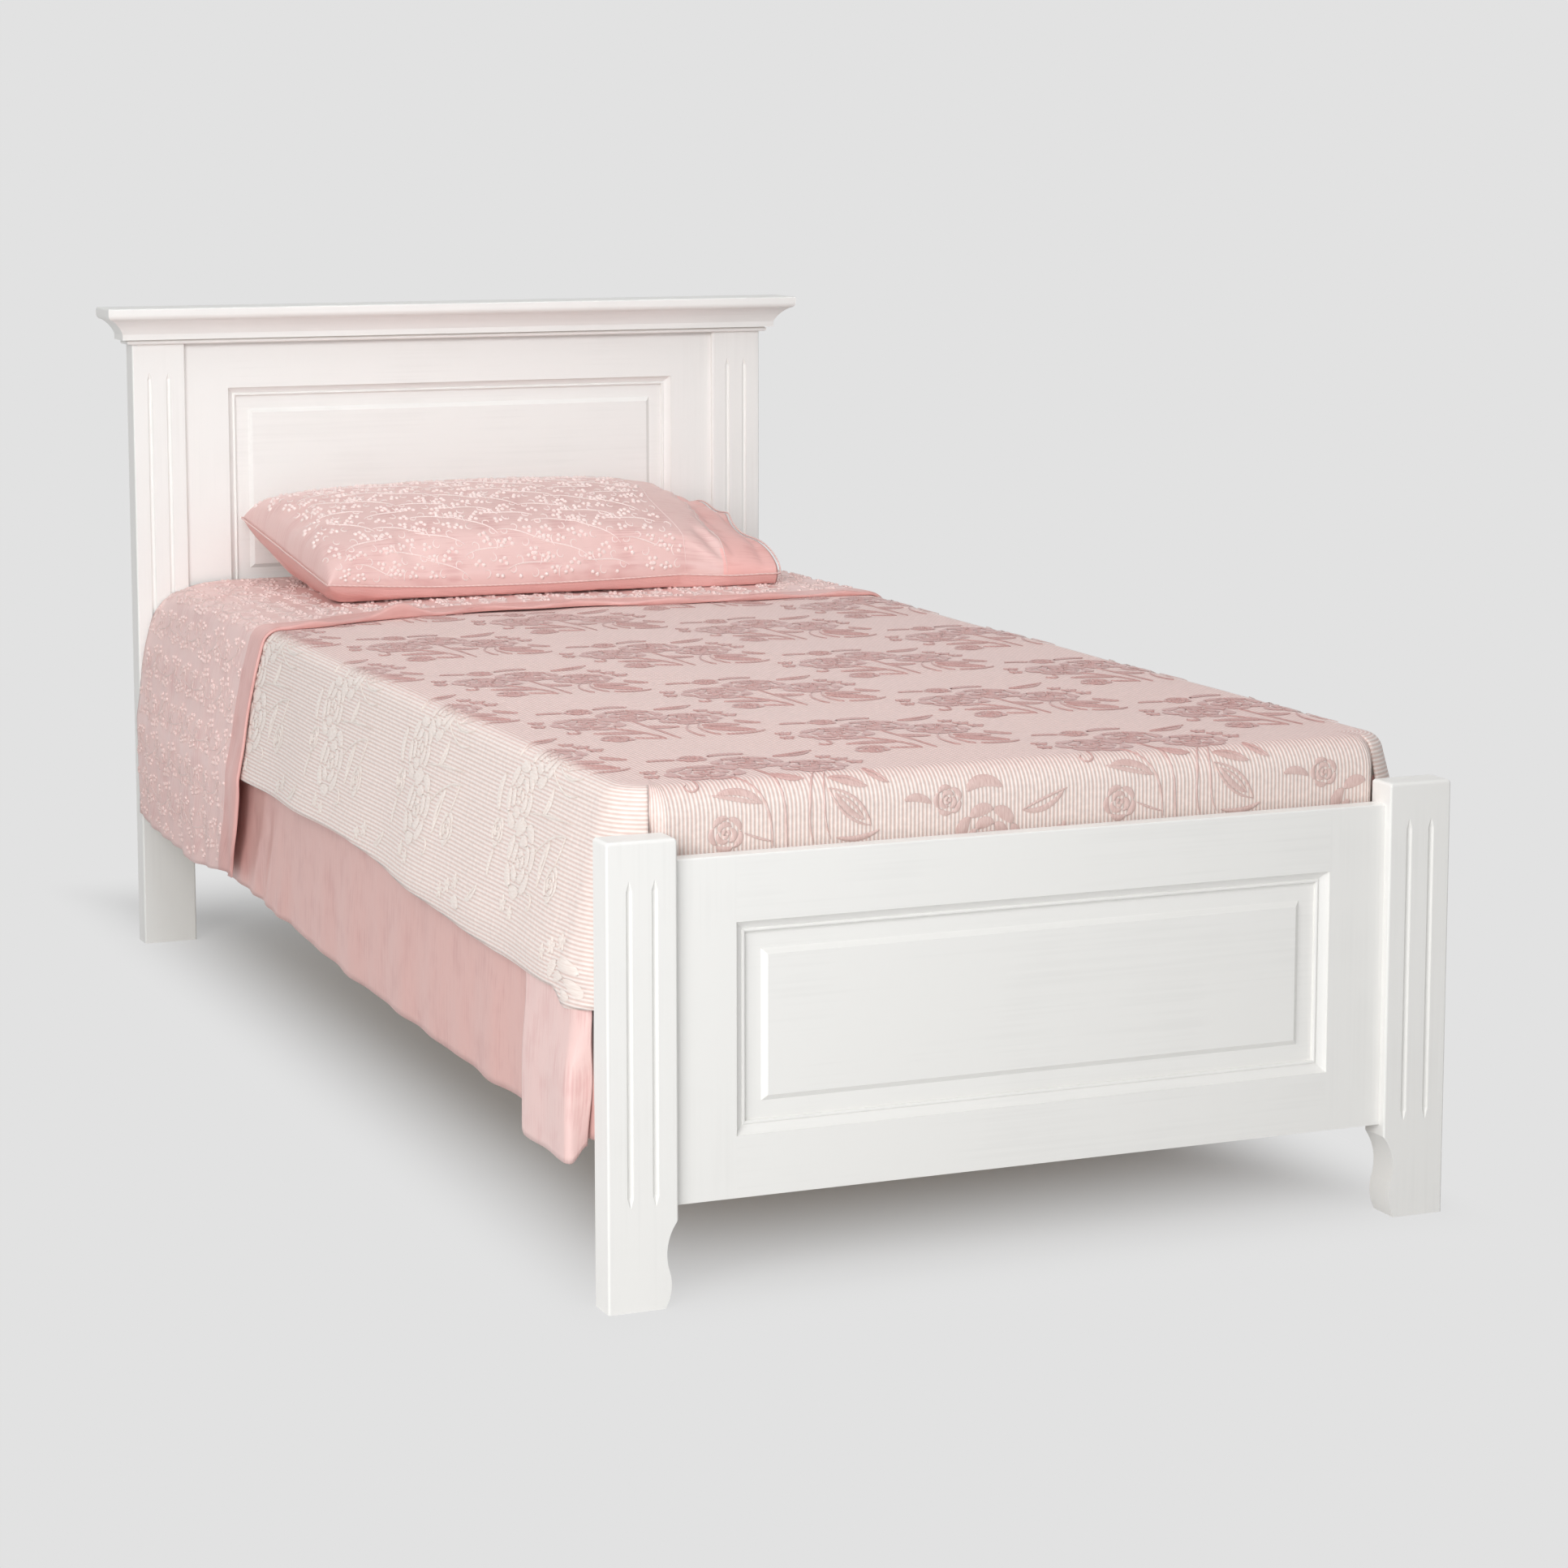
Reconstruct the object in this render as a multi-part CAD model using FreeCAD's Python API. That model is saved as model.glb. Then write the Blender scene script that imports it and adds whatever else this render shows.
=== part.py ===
import FreeCAD, Part
import math
import os

# A painted single bed with a panelled headboard and footboard, made up with its bedding.
# Lengths are in millimetres. The foot faces -Y, the headboard stands at +Y and the floor is Z = 0.

V = FreeCAD.Vector
X_AXIS = V(1, 0, 0)
Y_AXIS = V(0, 1, 0)
Z_AXIS = V(0, 0, 1)
QUARTER_TURN = 90.0
HALF_TURN = 180.0
TOLERANCE = 1e-6

# Mattress, which sets the inside of the bed
MATTRESS_LENGTH = 1900.0
MATTRESS_WIDTH = 900.0
MATTRESS_HEIGHT = 215.0
MATTRESS_CORNER_RADIUS = 50.0
MATTRESS_FOOT_GAP = 10.0
MATTRESS_HEAD_GAP = 4.0
MATTRESS_SIDE_GAP = 5.0
REST_GAP = 0.3

# Side rails, ledges and slats
RAIL_THICKNESS = 25.0
RAIL_HEIGHT = 145.0
RAIL_BOTTOM = 200.0
RAIL_INSET = 10.0
LEDGE_WIDTH = 28.0
LEDGE_HEIGHT = 32.0
LEDGE_DROP = 58.0
LEDGE_END_GAP = 30.0
SLAT_COUNT = 13
SLAT_WIDTH = 70.0
SLAT_THICKNESS = 18.0
SLAT_END_GAP = 1.5
SLAT_END_MARGIN = 60.0
SLAT_EDGE_RADIUS = 3.0

# Footboard posts
FOOT_POST_WIDTH = 76.0
FOOT_POST_DEPTH = 40.0
FOOT_POST_HEIGHT = 484.0
POST_EDGE_RADIUS = 2.5
POST_TOP_RADIUS = 4.0

# S-shaped cut on the inner side of each foot: height above the floor and how far it goes in
CUT_TOP = 92.0
CUT_HOLLOW_HEIGHT = 59.0
CUT_HOLLOW_DEPTH = 12.5
CUT_TURN_HEIGHT = 41.0
CUT_TURN_DEPTH = 10.5
CUT_SWELL_HEIGHT = 22.0
CUT_SWELL_DEPTH = 7.8
CUT_FLOOR_DEPTH = 14.5

# Headboard posts
HEAD_INSET = 3.0
HEAD_POST_WIDTH = 77.0
HEAD_POST_DEPTH = 35.0
HEAD_HEIGHT = 929.0

# Two stopped flutes on each post
FLUTE_RADIUS = 3.5
FLUTE_SPACING = 27.5
FLUTE_TOP_MARGIN = 39.0
FLUTE_TAPER = 12.0
FOOT_FLUTE_BOTTOM = 107.0
HEAD_FLUTE_BOTTOM = 300.0
FLUTE_OFFSET = 0.3

# Panel frames
FRAME_THICKNESS = 22.0
FOOT_RECESS = 10.5
HEAD_RECESS = 8.0
FOOT_STILE_WIDTH = 68.0
HEAD_STILE_WIDTH = 65.0
FOOT_TOP_DROP = 24.0
FOOT_FRAME_BOTTOM = 104.0
FOOT_TOP_RAIL_HEIGHT = 69.0
FOOT_BOTTOM_RAIL_HEIGHT = 65.0
HEAD_TOP_RAIL_HEIGHT = 102.0
HEAD_OPENING_BOTTOM = 513.0
HEAD_BOTTOM_RAIL_HEIGHT = 208.0
FRAME_EDGE_RADIUS = 2.0
TENON_LENGTH = 30.0
TENON_THICKNESS = 8.0
TENON_SHOULDER = 14.0
TENON_FRONT = 3.5
JOINT_CLEARANCE = 0.1

# Raised panels and their mouldings
MOULDING_WIDTH = 12.5
MOULDING_DEPTH = 12.0
MOULDING_QUIRK = 1.4
MOULDING_BEAD = 3.6
MOULDING_BEAD_DEPTH = 8.6
MITRE_GAP = 0.05
PANEL_THICKNESS = 6.0
PANEL_TONGUE = 7.0
GROOVE_END_GAP = 1.0
GROOVE_CLEARANCE = 0.15
FIELD_MARGIN = 19.0
FIELD_BEVEL = 6.0
FIELD_RISE = 5.0

# Dowels between posts and panel frames
DOWEL_RADIUS = 4.0
DOWEL_DEPTH = 20.0
DOWEL_END_GAP = 1.0
DOWEL_FIT = 0.05
FOOT_DOWEL_COUNT = 3
HEAD_DOWEL_COUNT = 4
DOWEL_MARGIN = 45.0

# Crown of the headboard: cap board, cove and bead
CAP_THICKNESS = 17.0
CAP_OVERHANG = 43.0
CAP_TOP_RADIUS = 2.5
CAP_NOSE_RADIUS = 8.0
COVE_HEIGHT = 29.0
COVE_TOP_PROJECTION = 35.0
COVE_FASCIA_PROJECTION = 17.0
COVE_LIP = 0.5
COVE_FASCIA_HEIGHT = 8.0
COVE_SAG = 1.6
BEAD_HEIGHT = 7.0
BEAD_PROJECTION = 8.4
BEAD_FLAT = 5.2

# Hook fittings at the four rail ends
PLATE_WIDTH = 17.0
PLATE_HEIGHT = 132.0
PLATE_THICKNESS = 2.5
PLATE_FIT = 0.1
HOOK_WIDTH = 5.0
HOOK_NECK = 14.0
HOOK_DROP = 9.0
HOOK_THICKNESS = 4.0
HOOK_SPACING = 60.0
HOOK_CLEARANCE = 0.4
HOOK_PLAY = 1.0
PLATE_SCREW_SPACING = 57.0

# Screws
SCREW_HEAD_RADIUS = 4.0
SCREW_HEAD_HEIGHT = 2.3
SCREW_RADIUS = 2.0
SCREW_FIT = 0.06
PLATE_SCREW_LENGTH = 24.0
LEDGE_SCREW_LENGTH = 42.0
SLAT_SCREW_LENGTH = 40.0
LEDGE_SCREW_STEP = 2

# Bedding cloth
CLOTH_GAP = 0.4
SHEET_THICKNESS = 2.0
COVERLET_THICKNESS = 5.0
RIDGE_RADIUS = 26.0
FOOT_RIDGE_RADIUS = 34.0
RAIL_CLOTH_GAP = 4.0
COVERLET_FLARE = 10.0
COVERLET_FOOT_HEM = 395.0
COVERLET_HEM_FOOT = 303.0
COVERLET_HEM_HEAD = 343.0
COVERLET_UNDER_TURNDOWN = 120.0
SKIRT_HEM_FOOT = 163.0
SKIRT_HEM_HEAD = 186.0
SKIRT_FLAP_HEM = 141.0
SKIRT_FLAP_LENGTH = 160.0
SKIRT_FLAP_RISE = 25.0
SKIRT_TOP = 296.0
SKIRT_JOIN = 286.0
SKIRT_WAVE_COUNT = 11
SKIRT_WAVE_DEPTH = 6.0
TURNDOWN_WIDTH = 575.0
TURNDOWN_HEM_FRONT = 197.0
TURNDOWN_HEM_HEAD = 175.0

# Pillow and its case
PILLOW_LENGTH = 640.0
PILLOW_DEPTH = 372.0
PILLOW_CROWN = 78.0
PILLOW_BELLY = 42.0
PILLOW_DRAW_IN = 9.0
PILLOW_TILT = 8.0
PILLOW_SHIFT = -20.0
PILLOW_STATION_SHARES = (-1.0, -0.93, -0.8, -0.55, -0.2, 0.2, 0.55, 0.8, 0.93, 1.0)
PILLOW_HEIGHT_SHARES = (0.05, 0.4, 0.66, 0.89, 1.0, 1.0, 0.89, 0.66, 0.4, 0.05)
PILLOW_WALL_GAP = 2.0
CASE_THICKNESS = 1.6
CASE_GAP = 0.4
FLANGE_LENGTH = 62.0
FLANGE_THICKNESS = 5.0

# Places worked out from the values above
inner_length = MATTRESS_FOOT_GAP + MATTRESS_LENGTH + MATTRESS_HEAD_GAP
overall_length = FOOT_POST_DEPTH + inner_length + HEAD_POST_DEPTH
foot_front_y = -overall_length / 2
foot_back_y = foot_front_y + FOOT_POST_DEPTH
head_front_y = foot_back_y + inner_length
head_back_y = head_front_y + HEAD_POST_DEPTH
rail_inner_x = MATTRESS_WIDTH / 2 + MATTRESS_SIDE_GAP
rail_outer_x = rail_inner_x + RAIL_THICKNESS
rail_mid_x = (rail_inner_x + rail_outer_x) / 2
rail_top_z = RAIL_BOTTOM + RAIL_HEIGHT
foot_half = rail_outer_x + RAIL_INSET
head_half = foot_half - HEAD_INSET
foot_post_inner = foot_half - FOOT_POST_WIDTH
head_post_inner = head_half - HEAD_POST_WIDTH
cap_bottom_z = HEAD_HEIGHT - CAP_THICKNESS
cove_bottom_z = cap_bottom_z - COVE_HEIGHT
bead_bottom_z = cove_bottom_z - BEAD_HEIGHT
foot_face_y = foot_front_y + FOOT_RECESS
head_face_y = head_front_y + HEAD_RECESS
foot_frame_top = FOOT_POST_HEIGHT - FOOT_TOP_DROP
ledge_top_z = rail_top_z - LEDGE_DROP
slat_top_z = ledge_top_z + SLAT_THICKNESS
mattress_bottom_z = slat_top_z + REST_GAP
mattress_top_z = mattress_bottom_z + MATTRESS_HEIGHT
mattress_foot_y = foot_back_y + MATTRESS_FOOT_GAP
mattress_head_y = mattress_foot_y + MATTRESS_LENGTH
far = 2 * overall_length

nodes = {}


def box(x0, x1, y0, y1, z0, z1):
    return Part.makeBox(x1 - x0, y1 - y0, z1 - z0, V(x0, y0, z0))


def mirrored(shape):
    return shape.mirror(V(0, 0, 0), X_AXIS)


def along(edge, axis):
    line = edge.Vertexes[-1].Point - edge.Vertexes[0].Point
    straight = edge.Curve.TypeId == "Part::GeomLine"
    return straight and line.Length > 0 and line.cross(axis).Length < TOLERANCE * line.Length


def eased(shape, radius, keep):
    edges = [edge for edge in shape.Edges if keep(edge)]
    return shape.makeFillet(radius, edges)


def prism(points, axis_length, place):
    """Straight prism over a closed outline. Each point is a vector, or a pair (middle, end) for an arc."""
    edges = []
    at = points[0]
    for item in points[1:] + [points[0]]:
        if isinstance(item, tuple):
            edges.append(Part.Arc(at, item[0], item[1]).toShape())
            at = item[1]
        elif item.distanceToPoint(at) > 0:
            edges.append(Part.makeLine(at, item))
            at = item
    face = Part.Face(Part.Wire(edges))
    solid = face.extrude(axis_length)
    solid.translate(place)
    return solid


def screw(length, fit):
    """Countersunk screw along -Z with the top of its head at the origin."""
    radius = SCREW_RADIUS + fit
    head = Part.makeCone(radius, SCREW_HEAD_RADIUS + fit, SCREW_HEAD_HEIGHT, V(0, 0, -SCREW_HEAD_HEIGHT))
    shank = Part.makeCylinder(radius, length - SCREW_HEAD_HEIGHT + fit, V(0, 0, -length - fit))
    return head.fuse(shank).removeSplitter()


def placed(shape, axis, turn, spot):
    copy = shape.copy()
    copy.rotate(V(0, 0, 0), axis, turn)
    copy.translate(spot)
    return copy


def flutes(mid_x, front_y, low, high):
    """Pair of grooves with tapered ends cut into a post's front face."""
    cutters = []
    for side in (-1, 1):
        x = mid_x + side * FLUTE_SPACING / 2
        y = front_y - FLUTE_OFFSET
        rod = Part.makeCylinder(FLUTE_RADIUS, high - low - 2 * FLUTE_TAPER, V(x, y, low + FLUTE_TAPER))
        foot = Part.makeCone(0, FLUTE_RADIUS, FLUTE_TAPER, V(x, y, low))
        head = Part.makeCone(FLUTE_RADIUS, 0, FLUTE_TAPER, V(x, y, high - FLUTE_TAPER))
        cutters.append(rod.fuse([foot, head]).removeSplitter())
    return cutters


def dowel_heights(low, high, count):
    step = (high - low - 2 * DOWEL_MARGIN) / (count - 1)
    return [low + DOWEL_MARGIN + step * number for number in range(count)]


def dowels(inner_x, mid_y, heights, gap, fit):
    """Dowels across the joint between a post and a stile, on the right-hand side."""
    reach = DOWEL_DEPTH - gap
    start = inner_x - reach
    return [Part.makeCylinder(DOWEL_RADIUS + fit, 2 * reach, V(start, mid_y, z), X_AXIS) for z in heights]


# Hook fittings. The strike plate sits in a post face and the hook plate in a rail end.
# They are drawn at the origin, facing along Y, with the post on the +Y side.
plate_mid_z = RAIL_BOTTOM + RAIL_HEIGHT / 2
hook_heights = (-HOOK_SPACING / 2, HOOK_SPACING / 2)
screw_heights = (-PLATE_SCREW_SPACING, 0, PLATE_SCREW_SPACING)
hook_back = PLATE_THICKNESS + HOOK_CLEARANCE
hook_end = hook_back + HOOK_THICKNESS
slot_half = HOOK_WIDTH / 2 + HOOK_CLEARANCE


def plate_blank(y0, y1, fit):
    half = PLATE_WIDTH / 2 + fit
    tall = PLATE_HEIGHT / 2 + fit
    return box(-half, half, y0, y1, -tall, tall)


def hook_plate():
    plate = plate_blank(-PLATE_THICKNESS, 0, 0)
    half = HOOK_WIDTH / 2
    for z in hook_heights:
        neck = box(-half, half, -PLATE_THICKNESS, hook_end, z - HOOK_NECK / 2, z + HOOK_NECK / 2)
        leg = box(-half, half, hook_back, hook_end, z - HOOK_NECK / 2 - HOOK_DROP, z + HOOK_NECK / 2)
        plate = plate.fuse(neck).fuse(leg)
    for z in screw_heights:
        plate = plate.cut(placed(screw(PLATE_SCREW_LENGTH, SCREW_FIT), X_AXIS, -QUARTER_TURN, V(0, 0, z)))
    return plate.removeSplitter()


def strike_plate():
    plate = plate_blank(0, PLATE_THICKNESS, 0)
    for z in hook_heights:
        low = z - HOOK_NECK / 2 - HOOK_CLEARANCE
        high = z + HOOK_NECK / 2 + HOOK_DROP + HOOK_CLEARANCE
        plate = plate.cut(box(-slot_half, slot_half, 0, PLATE_THICKNESS, low, high))
    for z in screw_heights:
        plate = plate.cut(placed(screw(PLATE_SCREW_LENGTH, SCREW_FIT), X_AXIS, QUARTER_TURN, V(0, 0, z)))
    return plate


def post_pocket():
    pocket = plate_blank(0, PLATE_THICKNESS, PLATE_FIT)
    half = HOOK_WIDTH / 2 + HOOK_PLAY
    for z in hook_heights:
        low = z - HOOK_NECK / 2 - HOOK_DROP - HOOK_PLAY
        high = z + HOOK_NECK / 2 + HOOK_DROP + HOOK_PLAY
        pocket = pocket.fuse(box(-half, half, 0, hook_end + HOOK_PLAY, low, high))
    for z in screw_heights:
        pocket = pocket.fuse(placed(screw(PLATE_SCREW_LENGTH, SCREW_FIT), X_AXIS, QUARTER_TURN, V(0, 0, z)))
    return pocket


def rail_pocket():
    pocket = plate_blank(-PLATE_THICKNESS, 0, PLATE_FIT)
    for z in screw_heights:
        pocket = pocket.fuse(placed(screw(PLATE_SCREW_LENGTH, SCREW_FIT), X_AXIS, -QUARTER_TURN, V(0, 0, z)))
    return pocket


head_spot = V(rail_mid_x, head_front_y, plate_mid_z)
foot_spot = V(rail_mid_x, foot_back_y, plate_mid_z)


def at_head(shape):
    return placed(shape, Z_AXIS, 0, head_spot)


def at_foot(shape):
    return placed(shape, Z_AXIS, HALF_TURN, foot_spot)


def four_corners(shape):
    right = [at_foot(shape), at_head(shape)]
    return Part.makeCompound(right + [mirrored(item) for item in right])


plate_screws = [placed(screw(PLATE_SCREW_LENGTH, 0), X_AXIS, QUARTER_TURN, V(0, 0, z)) for z in screw_heights]
hook_screws = [placed(screw(PLATE_SCREW_LENGTH, 0), X_AXIS, -QUARTER_TURN, V(0, 0, z)) for z in screw_heights]
nodes["rail_hook_plates"] = four_corners(hook_plate())
nodes["post_strike_plates"] = four_corners(strike_plate())
nodes["hook_plate_screws"] = four_corners(Part.makeCompound(hook_screws))
nodes["strike_plate_screws"] = four_corners(Part.makeCompound(plate_screws))

# Footboard posts
foot_dowel_z = dowel_heights(FOOT_FRAME_BOTTOM, foot_frame_top, FOOT_DOWEL_COUNT)
foot_mid_y = foot_face_y + FRAME_THICKNESS / 2
hollow = V(foot_post_inner + CUT_HOLLOW_DEPTH, 0, CUT_HOLLOW_HEIGHT)
turn = V(foot_post_inner + CUT_TURN_DEPTH, 0, CUT_TURN_HEIGHT)
swell = V(foot_post_inner + CUT_SWELL_DEPTH, 0, CUT_SWELL_HEIGHT)
foot_outline = [
    V(foot_half, 0, 0),
    V(foot_half, 0, FOOT_POST_HEIGHT),
    V(foot_post_inner, 0, FOOT_POST_HEIGHT),
    V(foot_post_inner, 0, CUT_TOP),
    (hollow, turn),
    (swell, V(foot_post_inner + CUT_FLOOR_DEPTH, 0, 0)),
]
post = prism(foot_outline, V(0, FOOT_POST_DEPTH, 0), V(0, foot_front_y, 0))
post = eased(post, POST_EDGE_RADIUS, lambda e: along(e, Z_AXIS))
post = eased(post, POST_TOP_RADIUS, lambda e: e.BoundBox.ZMin > FOOT_POST_HEIGHT - REST_GAP)
foot_flute_top = FOOT_POST_HEIGHT - FLUTE_TOP_MARGIN
for cutter in flutes((foot_half + foot_post_inner) / 2, foot_front_y, FOOT_FLUTE_BOTTOM, foot_flute_top):
    post = post.cut(cutter)
for cutter in dowels(foot_post_inner, foot_mid_y, foot_dowel_z, 0, DOWEL_FIT):
    post = post.cut(cutter)
post = post.cut(at_foot(post_pocket()))
nodes["footboard_post_right"] = post
nodes["footboard_post_left"] = mirrored(post)

# Headboard posts, which stop under the cap board
head_opening_top = cap_bottom_z - HEAD_TOP_RAIL_HEIGHT
head_frame_bottom = HEAD_OPENING_BOTTOM - HEAD_BOTTOM_RAIL_HEIGHT
head_dowel_z = dowel_heights(head_frame_bottom, cove_bottom_z, HEAD_DOWEL_COUNT)
head_mid_y = head_face_y + FRAME_THICKNESS / 2
post = box(head_post_inner, head_half, head_front_y, head_back_y, 0, cap_bottom_z)
post = eased(post, POST_EDGE_RADIUS, lambda e: along(e, Z_AXIS) and e.BoundBox.YMax < head_mid_y)
head_flute_top = bead_bottom_z - FLUTE_TOP_MARGIN
for cutter in flutes((head_half + head_post_inner) / 2, head_front_y, HEAD_FLUTE_BOTTOM, head_flute_top):
    post = post.cut(cutter)
for cutter in dowels(head_post_inner, head_mid_y, head_dowel_z, 0, DOWEL_FIT):
    post = post.cut(cutter)
crown_body = box(head_post_inner, head_half, head_front_y, head_back_y, bead_bottom_z, cap_bottom_z)
post = post.cut(at_head(post_pocket())).fuse(crown_body).removeSplitter()
nodes["headboard_post_right"] = post
nodes["headboard_post_left"] = mirrored(post)


def mitred(profile, length):
    """Moulding strip along X over a profile in Y and Z, its ends mitred below its long edge at Z = 0."""
    half = length / 2 - MITRE_GAP
    strip = prism(profile, V(length, 0, 0), V(-length / 2, 0, 0))
    keep = [V(-half, 0, 0), V(half, 0, 0), V(half / 2, 0, -half / 2), V(-half / 2, 0, -half / 2)]
    return strip.common(prism(keep, V(0, far, 0), V(0, -far / 2, 0)))


def panel_set(name, post_inner, stile, face_y, low, high, open_low, open_high, heights, top_reveal):
    """Stiles, tenoned rails, tongued raised panel, mitred mouldings and dowels of one panelled board."""
    back_y = face_y + FRAME_THICKNESS
    open_half = post_inner - stile
    tenon_y = face_y + TENON_FRONT
    tenon_back = tenon_y + TENON_THICKNESS
    panel_y = face_y + MOULDING_DEPTH
    groove_y = panel_y - GROOVE_CLEARANCE
    groove_back = panel_y + PANEL_THICKNESS + GROOVE_CLEARANCE
    groove = PANEL_TONGUE + GROOVE_END_GAP
    channel = box(
        -open_half - groove, open_half + groove, groove_y, groove_back, open_low - groove, open_high + groove
    )

    right = box(open_half, post_inner, face_y, back_y, low, high)
    rails = {}
    for rail, z0, z1 in (("top", open_high, high), ("bottom", low, open_low)):
        bar = box(-open_half, open_half, face_y, back_y, z0, z1)
        shoulder0 = z0 + TENON_SHOULDER
        shoulder1 = z1 - TENON_SHOULDER
        reach = open_half + TENON_LENGTH
        tenon = box(-reach, reach, tenon_y, tenon_back, shoulder0, shoulder1)
        play = JOINT_CLEARANCE
        mortise = box(
            0, reach + play, tenon_y - play, tenon_back + play, shoulder0 - play, shoulder1 + play
        )
        right = right.cut(mortise)
        rails[rail] = bar.fuse(tenon).removeSplitter().cut(channel)
    right = right.cut(channel)
    for cutter in dowels(post_inner, face_y + FRAME_THICKNESS / 2, heights, 0, DOWEL_FIT):
        right = right.cut(cutter)
    if top_reveal:
        top_edges = lambda e: along(e, X_AXIS) and e.BoundBox.ZMin > high - REST_GAP
        rails["top"] = eased(rails["top"], FRAME_EDGE_RADIUS, top_edges)
        right = eased(right, FRAME_EDGE_RADIUS, top_edges)
    nodes[name + "_stile_right"] = right
    nodes[name + "_stile_left"] = mirrored(right)
    nodes[name + "_top_rail"] = rails["top"]
    nodes[name + "_bottom_rail"] = rails["bottom"]

    tongue = PANEL_TONGUE
    panel = box(
        -open_half - tongue,
        open_half + tongue,
        panel_y,
        panel_y + PANEL_THICKNESS,
        open_low - tongue,
        open_high + tongue,
    )
    bevel_foot = MOULDING_WIDTH + FIELD_MARGIN
    bevel_top = bevel_foot + FIELD_BEVEL
    rims = []
    for inset, y in ((bevel_foot, panel_y), (bevel_top, panel_y - FIELD_RISE)):
        x = open_half - inset
        z0 = open_low + inset
        z1 = open_high - inset
        corners = [V(-x, y, z0), V(x, y, z0), V(x, y, z1), V(-x, y, z1)]
        rims.append(Part.makePolygon(corners + corners[:1]))
    nodes[name + "_panel"] = panel.fuse(Part.makeLoft(rims, True, True)).removeSplitter()

    slope_end = MOULDING_WIDTH - MOULDING_BEAD
    quirk = V(0, MOULDING_QUIRK, 0)
    sag = V(0, (MOULDING_QUIRK + MOULDING_BEAD_DEPTH) / 2 + MOULDING_QUIRK, -slope_end / 2)
    bead_start = V(0, MOULDING_BEAD_DEPTH, -slope_end)
    bead_top = V(0, MOULDING_BEAD_DEPTH - MOULDING_QUIRK, -slope_end - MOULDING_BEAD / 2)
    bead_end = V(0, MOULDING_BEAD_DEPTH, -MOULDING_WIDTH)
    profile = [
        quirk,
        (sag, bead_start),
        (bead_top, bead_end),
        V(0, MOULDING_DEPTH, -MOULDING_WIDTH),
        V(0, MOULDING_DEPTH, 0),
    ]
    wide = mitred(profile, 2 * open_half)
    tall = mitred(profile, open_high - open_low)
    mid_z = (open_low + open_high) / 2
    nodes[name + "_moulding_top"] = placed(wide, Y_AXIS, 0, V(0, face_y, open_high))
    nodes[name + "_moulding_bottom"] = placed(wide, Y_AXIS, HALF_TURN, V(0, face_y, open_low))
    nodes[name + "_moulding_right"] = placed(tall, Y_AXIS, QUARTER_TURN, V(open_half, face_y, mid_z))
    nodes[name + "_moulding_left"] = placed(tall, Y_AXIS, -QUARTER_TURN, V(-open_half, face_y, mid_z))

    pegs = dowels(post_inner, face_y + FRAME_THICKNESS / 2, heights, DOWEL_END_GAP, 0)
    nodes[name + "_dowels"] = Part.makeCompound(pegs + [mirrored(peg) for peg in pegs])


panel_set(
    "footboard",
    foot_post_inner,
    FOOT_STILE_WIDTH,
    foot_face_y,
    FOOT_FRAME_BOTTOM,
    foot_frame_top,
    FOOT_FRAME_BOTTOM + FOOT_BOTTOM_RAIL_HEIGHT,
    foot_frame_top - FOOT_TOP_RAIL_HEIGHT,
    foot_dowel_z,
    True,
)
panel_set(
    "headboard",
    head_post_inner,
    HEAD_STILE_WIDTH,
    head_face_y,
    head_frame_bottom,
    cap_bottom_z,
    HEAD_OPENING_BOTTOM,
    head_opening_top,
    head_dowel_z,
    False,
)

# Crown of the headboard
cap_half = head_half + CAP_OVERHANG
cap = box(-cap_half, cap_half, head_front_y - CAP_OVERHANG, head_back_y, cap_bottom_z, HEAD_HEIGHT)
outside = lambda e: e.BoundBox.YMin < head_front_y - REST_GAP or abs(e.CenterOfMass.x) > cap_half - REST_GAP
not_back = lambda e: outside(e) and e.BoundBox.ZLength < REST_GAP and e.BoundBox.YMin < head_back_y - REST_GAP
cap = eased(cap, CAP_NOSE_RADIUS, lambda e: not_back(e) and e.BoundBox.ZMax < cap_bottom_z + REST_GAP)
cap = eased(cap, CAP_TOP_RADIUS, lambda e: not_back(e) and e.BoundBox.ZMin > HEAD_HEIGHT - REST_GAP)
nodes["headboard_cap"] = cap

cove_lip_z = cap_bottom_z - COVE_LIP
cove_foot_z = cove_bottom_z + COVE_FASCIA_HEIGHT
cove_sag = V(
    0,
    -(COVE_TOP_PROJECTION + COVE_FASCIA_PROJECTION) / 2 + COVE_SAG,
    (cove_lip_z + cove_foot_z) / 2 + COVE_SAG,
)
cove_profile = [
    V(0, 0, cove_bottom_z),
    V(0, -COVE_FASCIA_PROJECTION, cove_bottom_z),
    V(0, -COVE_FASCIA_PROJECTION, cove_foot_z),
    (cove_sag, V(0, -COVE_TOP_PROJECTION, cove_lip_z)),
    V(0, -COVE_TOP_PROJECTION, cap_bottom_z),
    V(0, 0, cap_bottom_z),
]
bead_flat_z = cove_bottom_z - (BEAD_HEIGHT - BEAD_FLAT) / 2
bead_profile = [
    V(0, 0, bead_bottom_z),
    V(0, -BEAD_FLAT, bead_bottom_z),
    (V(0, -BEAD_PROJECTION, (bead_bottom_z + bead_flat_z) / 2), V(0, -BEAD_FLAT, bead_flat_z)),
    V(0, -BEAD_FLAT, cove_bottom_z),
    V(0, 0, cove_bottom_z),
]


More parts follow.
